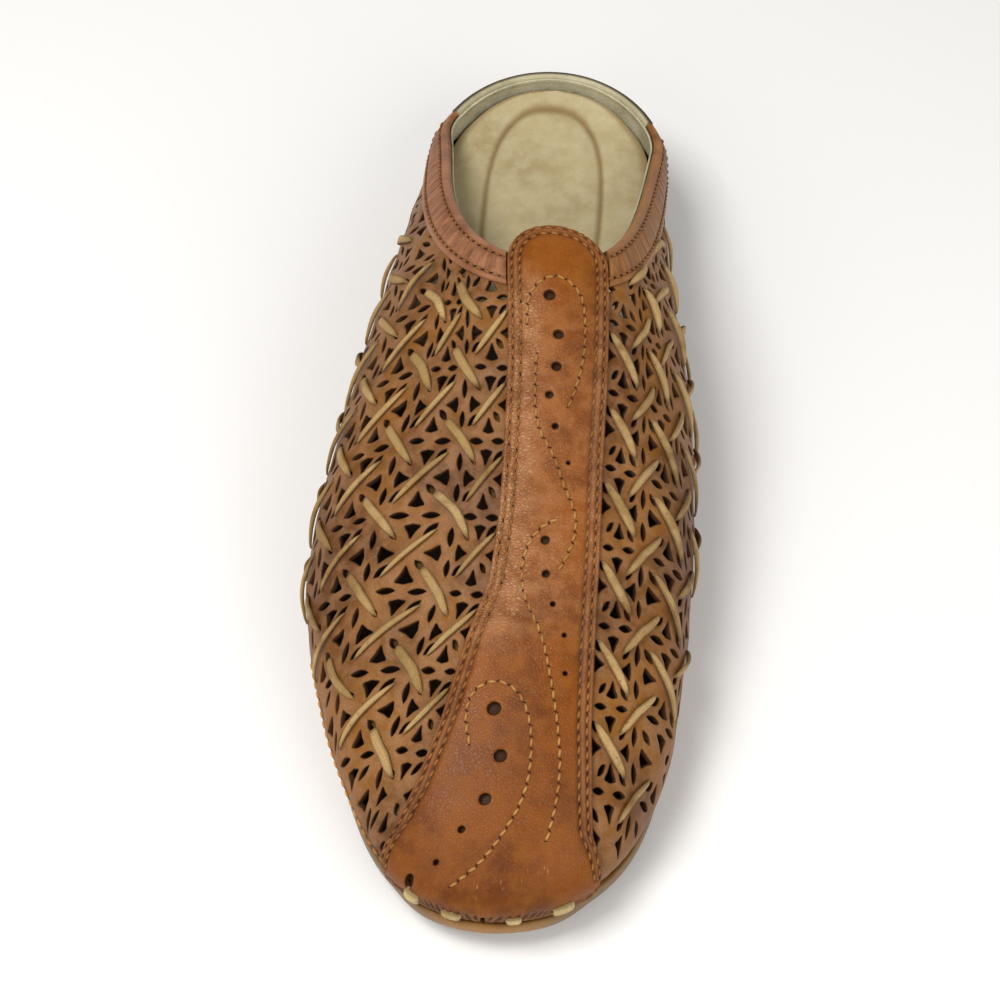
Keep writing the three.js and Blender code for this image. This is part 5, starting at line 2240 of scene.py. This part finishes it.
    def lining(self) -> None:
        """The pale lining: a thin sheet inside the wall, walked down from the collar edge, softly uneven."""
        last, count, layers = self.shop.last, self.lining_count, self.lining_layers
        first, front, lowest = 0.05, 257.0, 1.98
        s, t = self.round_path(self.lining_reach, count)
        edge = last.point(s, t)
        run = unit(np.gradient(edge, axis=0))
        step = np.full(count, self.lining_depth / (layers - 1))
        places = [(s, t)]
        for _ in range(layers - 1):
            down = np.cross(run, last.normal(s, t))
            down = down * np.where(down[:, 2] > 0, -1.0, 1.0)[:, None]
            s, t = last.walk(np.clip(s, first, front), t, down, step)
            s = np.clip(s, 0.0, front)
            places.append((s, np.clip(t, -lowest, lowest)))
        at, over = (np.stack(column, 1) for column in zip(*places))
        share = np.linspace(0.0, 1.0, layers)
        wave = noise_1d(along_path(edge) / 14.0, 4)[:, None]
        soft = self.lining_swell * wave * np.sin(math.pi * share)[None, :]
        lifts = (off - self.wall - self.lining_gap + soft for off in (0.0, self.lining_thick))
        points = np.stack([last.skin(at, over, lift) for lift in lifts])
        # Painted shade deep inside, towards the insole, and a darker line just under the edge.
        shade = 0.35 * smooth(share, 0.75, 1.0) + 0.25 * bell(share - 0.12, 0.05)
        values = {"shade": np.broadcast_to(shade, points.shape[:3])}
        finish = self.shop.finishes["lining_leather"]
        add_piece("collar_lining", points, sheet_faces(count, layers), finish, (), values)


def slab_profile(out: Array, level: Array, count: int) -> tuple[Array, Array, Array]:
    """Closed profile of a slab: up one edge, over the flat top, down the other edge and back underneath.

    Args:
        out: How far each place of an edge is moved out, from the underside up.
        level: Height of each place of an edge, 0 to 1.
        count: Places on each flat face.

    Returns:
        Share across, move outwards and height of each place.
    """
    flat = np.linspace(-1.0, 1.0, count + 2)[1:-1]
    edge, face = np.ones_like(out), np.ones(count)
    k = np.concatenate([edge, flat[::-1], -edge, flat])
    shift = np.concatenate([out, face * out[-1], out[::-1], face * out[0]])
    return k, shift, np.concatenate([level, face, level[::-1], 0.0 * face])


@dataclass
class Plate:
    """A flat piece under the foot: a closed profile across the sole, carried from heel to toe."""

    shop: Workshop
    stations: Array
    set_off: Callable[[Array], Array]

    def across(self, shift: Array, k: Array) -> Array:
        """Plan places at a share k (-1 to 1) between both edges, each moved out by a shift.

        Args:
            shift: How far the edge is moved out, per profile place.
            k: Share across the sole, per profile place.

        Returns:
            Plan points (stations, profile, 2).
        """
        last = self.shop.last
        s = self.stations[:, None]
        inset = last.section["tuck"](s) - self.set_off(s) - shift[None, :]
        edges = []
        for side in Side:
            place, normal = last.plan(np.broadcast_to(s, inset.shape), np.full((1, 1), float(side.value)))
            edges.append(place - normal * inset[..., None])
        return edges[0] + (edges[1] - edges[0]) * ((k + 1.0) / 2.0)[None, :, None]

    def points(self, shift: Array, k: Array, height: Callable[[Array], Array]) -> Array:
        """Points of the piece, its height read at each place's own station.

        Args:
            shift: How far the edge is moved out, per profile place.
            k: Share across the sole, per profile place.
            height: Height at each station (stations, profile).

        Returns:
            Points (stations, profile, 3).
        """
        plan = self.across(shift, k)
        s = self.shop.last.heel_y - plan[..., 1]
        return np.concatenate([plan, height(s)[..., None]], -1)


@dataclass
class Underfoot:
    """Outsole, heel block and padded insole."""

    shop: Workshop
    edge_out: float = 1.0
    toe_out: float = 0.8
    toe_out_run: tuple[float, float] = (205.0, 240.0)
    tip_out: float = 1.6
    tip_out_run: tuple[float, float] = (248.0, 256.0)
    amber_tip_run: tuple[float, float] = (250.0, 259.5)
    heel_breast: float = 66.0
    heel_inset: float = 1.2
    heel_flare: float = 1.0
    heel_bevel: float = 0.7
    heel_lines: tuple[float, ...] = (0.2, 0.47, 0.74)
    line_depth: float = 0.16
    line_width: float = 0.018
    insole_thick: float = 3.0
    insole_inset: float = 1.4
    insole_round: float = 0.8
    insole_skirt: float = 2.4
    heel_pad: float = 3.4
    heel_pad_run: tuple[float, float] = (62.0, 100.0)
    heel_curl: float = 3.2
    heel_curl_run: tuple[float, float] = (1.0, 17.0)
    oval_middle: tuple[float, float] = (2.3, 49.0)
    oval_size: tuple[float, float] = (16.4, 39.0)
    oval_power: float = 2.7
    oval_end: float = 92.0

    def welt(self, s: Array) -> Array:
        """How far the outsole stands out past the feather line: further round the toe."""
        toe = self.toe_out * smooth(s, *self.toe_out_run)
        return self.edge_out + toe + self.tip_out * smooth(s, *self.tip_out_run)

    def outsole(self) -> None:
        """A rounded edge: half a superellipse from underside to top, with flat faces between."""
        last, edge_count, face_count = self.shop.last, 15, 18
        plate = Plate(self.shop, last.station(np.linspace(0.0, 1.0, 190)), self.welt)
        phi = np.linspace(-math.pi / 2.0, math.pi / 2.0, edge_count)
        out = np.abs(np.cos(phi)) ** 0.6 - 1.0
        level = (np.sign(np.sin(phi)) * np.abs(np.sin(phi)) ** 0.75 + 1.0) / 2.0
        k, shift, share = slab_profile(out, level, face_count)
        points = plate.points(shift, k, lambda s: last.sole_bottom(s) + share[None, :] * last.sole_thick)
        rows, columns = points.shape[:2]
        flat = np.zeros(face_count)
        edge = np.concatenate([np.cos(phi), flat, np.cos(phi), flat])[None, :]
        # Painted shade on the flat faces and where the edge turns onto them; away from the tip the edge is
        # also darker and more olive.
        away_from_tip = 1.0 - smooth(plate.stations, *self.amber_tip_run)[:, None]
        dark = np.clip((1.0 - edge) * 0.5 + 0.25 * away_from_tip * edge, 0.0, 1.0)
        values = {"shade": dark, "wear_and_painted_light": edge * away_from_tip * 0.75}
        faces, finish = grid_faces(rows, columns, wrap=True), self.shop.finishes["sole_leather"]
        add_piece("outsole_leather", points, faces, finish, ["outsole"], values, 60.0)

    def heel(self) -> None:
        """A low block of stacked layers: each layer line is a fine groove round the block."""
        last, level_count, face_count = self.shop.last, 37, 12
        back = last.heel_round * (1.0 - np.cos(np.linspace(0.0, math.pi / 2.0, 60)))
        s = np.concatenate([back, np.linspace(last.heel_round + 1.0, self.heel_breast, 40)])
        plate = Plate(self.shop, s, lambda v: np.full_like(v, self.edge_out - self.heel_inset))
        level = np.linspace(0.0, 1.0, level_count)
        groove = self.line_depth * sum(bell(level - line, self.line_width) for line in self.heel_lines)
        bevel = self.heel_bevel * (1.0 - smooth(level, 0.0, 0.06))
        k, shift, share = slab_profile(self.heel_flare * (level - 1.0) - bevel - groove, level, face_count)
        points = plate.points(shift, k, lambda v: share[None, :] * (last.sole_bottom(v) - last.fit_gap))
        rows, columns = points.shape[:2]
        breast = list(range((rows - 1) * columns, rows * columns))
        faces = [*grid_faces(rows, columns, wrap=True).tolist(), breast[::-1]]
        flat = np.zeros(face_count)
        line = np.concatenate([groove, flat, groove[::-1], flat])
        values = {"shade": np.tile(np.clip(line * 5.0, 0.0, 0.8), rows)}
        finish = self.shop.finishes["heel_leather"]
        add_piece("heel_block_leather", points, faces, finish, ["heel"], values, 40.0)

    def oval_gap(self, x: Array, s: Array) -> Array:
        """Distance from the sewn oval on the heel pad, a superellipse in plan.

        Args:
            x: Places across.
            s: Stations.

        Returns:
            Distances, negative inside.
        """
        (middle_x, middle_s), (half_x, half_s) = self.oval_middle, self.oval_size
        longest, power = 20.0, self.oval_power
        a, b = (x - middle_x) / half_x, (s - middle_s) / half_s
        r = (np.abs(a) ** power + np.abs(b) ** power) ** (1.0 / power)
        radius = np.hypot(x - middle_x, s - middle_s) / np.maximum(r, 1e-6)
        return (r - 1.0) * np.minimum(radius, longest)

    def insole(self) -> None:
        """The footbed: a padded heel with an oval pressed into it, and rounded edges."""
        last, low = self.shop.last, [self.insole_skirt]
        stations = last.station(np.linspace(0.0, 1.0, 420))
        plate = Plate(self.shop, stations, lambda v: np.full_like(v, -self.insole_inset))
        flat, under = np.linspace(-1.0, 1.0, 121), np.linspace(1.0, -1.0, 31)
        turn = np.linspace(0.0, math.pi / 2.0, 6)[1:]
        out, fall = self.insole_round * (np.sin(turn) - 1.0), self.insole_round * (1.0 - np.cos(turn))
        side, soft, none = np.ones(len(turn) + 1), np.ones_like(turn), [0.0]
        bottom = np.zeros_like(under)
        k = np.concatenate([flat, side, under, -side])
        shift = np.concatenate([np.full_like(flat, -self.insole_round), out, none, bottom, none, out[::-1]])
        drop = np.concatenate([np.zeros_like(flat), fall, low, bottom + self.insole_thick, low, fall[::-1]])
        top = np.concatenate([np.ones_like(flat), soft, none, bottom, none, soft])
        plan = plate.across(shift, k)
        x, s = plan[..., 0], last.heel_y - plan[..., 1]
        gap, on_pad = self.oval_gap(x, s), s < self.oval_end
        pad = self.heel_pad * (1.0 - smooth(s, *self.heel_pad_run)) * (1.0 - 0.12 * k[None, :] ** 2)
        curl = self.heel_curl * (1.0 - smooth(s, *self.heel_curl_run))
        press = 0.55 * bell(gap, 0.9) - 0.3 * smooth(-gap, 0.5, 5.0)
        soft_top = top[None, :] * (pad + curl - press * on_pad)
        z = last.feather_z(s) + self.insole_thick - drop[None, :] + soft_top
        points = np.concatenate([plan, z[..., None]], -1)
        faces = grid_faces(*points.shape[:2], wrap=True)[:, ::-1]
        rim = smooth(np.abs(k), 0.9, 1.0)[None, :]
        # Painted shade in the pressed oval and along the edge against the lining; the wear and light value is
        # a painted shadow over the part under the upper, from station 72 forwards.
        values = {
            "shade": np.clip(0.75 * bell(gap, 0.8) * on_pad + 0.5 * rim, 0.0, 1.0),
            "wear_and_painted_light": 2.0 * smooth(s, 72.0, 104.0),
        }
        finish = self.shop.finishes["insole_leather"]
        piece = add_piece("insole_leather", points, faces, finish, ["insole"], values, 60.0)


@dataclass(frozen=True)
class Tie:
    """A tie at the toe: distance from the axis, width, and section coordinate of its upper end."""

    x: float
    width: float
    top: float


@dataclass
class ToeTies:
    """The pale laces that tie the strip to the sole round the toe."""

    shop: Workshop
    ties: tuple[Tie, ...] = (
        Tie(-16.4, 3.5, 0.84), Tie(-7.2, 4.8, 0.92), Tie(7.0, 3.8, 0.97), Tie(18.0, 5.0, 0.92),
    )
    thick: float = 1.3
    foot: float = 1.8
    outer_lift: float = 1.35
    inner_lift: float = 1.2
    rows: int = 13
    columns: int = 15

    def station(self, x: Array) -> Array:
        """Station on the toe's outline at a distance from the axis, as the nearest of many.

        Args:
            x: Distances from the axis, negative on the lateral side.

        Returns:
            Stations.
        """
        last = self.shop.last
        s = np.linspace(last.length, last.length - last.toe_round, 4000)
        left, right = (np.abs(last.bulge_x(s, side.value))[None] for side in Side)
        half = np.where(x[:, None] < 0, left, right)
        return s[np.argmin(np.abs(half - np.abs(x)[:, None]), axis=1)]

    def build(self) -> None:
        """Each tie is a flat pad: round across, dipping into the strip above and behind the sole below."""
        last = self.shop.last
        w, a = np.linspace(-1.0, 1.0, self.rows), np.linspace(0.0, 1.0, self.columns)
        behind = smooth(a, 0.75, 1.0)[None, :]
        dip = 0.5 * smooth(a, 0.0, 0.3)[None, :] + 0.5 - 0.75 * behind
        crown = np.sqrt(np.clip(1.0 - np.abs(w) ** 3.5, 0.0, 1.0))[:, None]
        inner = np.broadcast_to(self.inner_lift - 0.6 * behind, (self.rows, self.columns))
        lifts = np.stack([self.outer_lift + self.thick * dip * crown, inner])
        # Painted shade at both ends of a tie, where it goes into the strip and behind the sole, and over its
        # back face.
        ends = 0.7 * smooth(a, 0.2, 0.0) + 0.4 * smooth(a, 0.85, 1.0)
        shade = np.stack([np.tile(ends, (self.rows, 1)), np.full((self.rows, self.columns), 0.5)])
        for number, tie in enumerate(self.ties, start=1):
            sign = math.copysign(1.0, tie.x)
            across = self.station(tie.x + w * tie.width / 2.0)
            s, t = np.broadcast_arrays(across[:, None], sign * (tie.top + (self.foot - tie.top) * a)[None, :])
            _, normal = last.plan(s, np.full(s.shape, sign))
            level = np.concatenate([normal, np.zeros((*s.shape, 1))], -1)
            points = last.point(s, t)[None] + level[None] * lifts[..., None]
            faces = sheet_faces(self.rows, self.columns)[:, :: -int(sign)]
            name, finish = f"toe_tie_{number}", self.shop.finishes["tie_leather"]
            add_piece(name + "_lace", points, faces, finish, [name], {"shade": shade}, 70.0)


@dataclass(frozen=True)
class Lamp:
    """A square soft lamp: its place and size in metres, its power and its colour."""

    name: str
    place: tuple[float, float, float]
    size: float
    power: float
    colour: Colour

    def build(self, aim: tuple[float, float, float]) -> None:
        """Hang the lamp, facing a place.

        Args:
            aim: The place that it faces, in metres.
        """
        light = bpy.data.lights.new(self.name, "AREA")
        light.size = self.size
        light.energy = self.power
        light.color = self.colour
        held = bpy.data.objects.new(self.name, light)
        held.location = self.place
        held.rotation_euler = (Vector(aim) - Vector(self.place)).to_track_quat("-Z", "Y").to_euler()
        bpy.context.scene.collection.objects.link(held)


@dataclass(frozen=True)
class Studio:
    """Pale floor, soft light and the camera at the photograph's angle."""

    azimuth: float = 3.613
    elevation: float = 53.701
    roll: float = 0.76
    distance: float = 606.1
    target: tuple[float, float, float] = (3.22, 1.09, 25.0)
    aim: tuple[float, float] = (-0.0104, -0.0222)
    lens: float = 83.0
    sensor: float = 36.0
    nearest: float = 0.01
    floor_half: float = 3.0
    floor_colour: Colour = (0.9, 0.9, 0.9)
    floor_roughness: float = 0.7
    sky_colour: Colour = (1.0, 0.99, 0.97)
    sky_strength: float = 0.35
    lamp_aim: tuple[float, float, float] = (0.0, 0.0, 0.02)
    lamps: tuple[Lamp, ...] = (
        Lamp("key", (-0.36, -0.2, 0.95), 0.42, 7.2, (1.0, 0.98, 0.95)),
        Lamp("fill", (0.6, -0.6, 0.7), 0.7, 4.3, (1.0, 0.99, 0.97)),
        Lamp("front", (-0.55, -0.8, 0.7), 0.5, 1.8, (1.0, 0.98, 0.96)),
    )

    def camera(self) -> None:
        """Place the camera on its direction from the target and turn it so that the shoe is in the middle."""
        az, el, roll = (math.radians(v) for v in (self.azimuth, self.elevation, self.roll))
        back = np.array([math.sin(az) * math.cos(el), -math.cos(az) * math.cos(el), math.sin(el)])
        right = unit(np.cross(-back, [0.0, 0.0, 1.0]))
        up = np.cross(right, -back)
        turned = right * math.cos(roll) + up * math.sin(roll)
        upright = up * math.cos(roll) - right * math.sin(roll)
        place = np.array(self.target) + back * self.distance
        look = unit(-back + turned * self.aim[0] + upright * self.aim[1])
        turned = unit(turned - look * (turned @ look))
        upright = np.cross(turned, look)
        camera = bpy.data.cameras.new("camera")
        camera.lens = self.lens
        camera.sensor_width = self.sensor
        camera.sensor_fit = "HORIZONTAL"
        camera.clip_start = self.nearest
        held = bpy.data.objects.new("camera", camera)
        matrix = np.eye(4)
        matrix[:3] = np.stack([turned, upright, -look, place * MM], 1)
        held.matrix_world = Matrix(matrix.tolist())
        bpy.context.scene.collection.objects.link(held)
        bpy.context.scene.camera = held

    def floor(self) -> None:
        """A wide pale floor at z = 0."""
        half = self.floor_half
        corners = [(-half, -half, 0.0), (half, -half, 0.0), (half, half, 0.0), (-half, half, 0.0)]
        mesh = bpy.data.meshes.new("floor")
        mesh.from_pydata(corners, [], [(0, 1, 2, 3)])
        paint = bpy.data.materials.new("floor_paint")
        paint.use_nodes = True
        surface = paint.node_tree.nodes["Principled BSDF"]
        surface.inputs["Base Color"].default_value = (*self.floor_colour, 1.0)
        surface.inputs["Roughness"].default_value = self.floor_roughness
        mesh.materials.append(paint)
        floor = bpy.data.objects.new("floor", mesh)
        bpy.context.scene.collection.objects.link(floor)

    def build(self) -> None:
        """Floor, sky, lamps and camera."""
        self.floor()
        sky = bpy.data.worlds.new("studio")
        sky.use_nodes = True
        background = sky.node_tree.nodes["Background"]
        background.inputs["Color"].default_value = (*self.sky_colour, 1.0)
        background.inputs["Strength"].default_value = self.sky_strength
        bpy.context.scene.world = sky
        bpy.context.scene.view_settings.view_transform = "Standard"
        for lamp in self.lamps:
            lamp.build(self.lamp_aim)
        self.camera()


def main() -> None:
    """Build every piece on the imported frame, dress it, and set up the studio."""
    logging.basicConfig(level=logging.INFO, format="%(name)s %(message)s")
    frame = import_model()
    LOG.info("frame %s", type(frame).__name__)
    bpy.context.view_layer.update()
    shop = Workshop()
    left, right = shop.charts[Side.LATERAL], shop.charts[Side.MEDIAL]
    lattices = {
        Side.LATERAL: Lattice(left, first=78.0, pitch=18.4, beside=10.8, near=7.2, far=21.0),
        Side.MEDIAL: Lattice(right, first=79.4, pitch=18.9, beside=11.4, near=9.0, far=20.0),
    }
    edges, lines = Stitches(length=2.0, hole=1.1), Stitches(length=2.1, hole=0.9)
    for side in Side:
        panel = Panel(shop, lattices[side], seed=7 + side.value)
        panel.build()
        Laces(panel).build()
        if side is Side.LATERAL:
            panel.sew(lines)
    CentreStrip(shop).build(edges, lines)
    collar = Collar(shop)
    for side in Side:
        collar.band(side, edges)
    collar.rim()
    collar.lining()
    underfoot = Underfoot(shop)
    underfoot.outsole()
    underfoot.heel()
    underfoot.insole()
    ToeTies(shop).build()
    edges.build("edge_stitches", shop.finishes["edge_thread"], "centre_strip")
    lines.build("line_stitches", shop.finishes["line_thread"], "centre_strip")
    Studio().build()


if __name__ == "__main__":
    main()
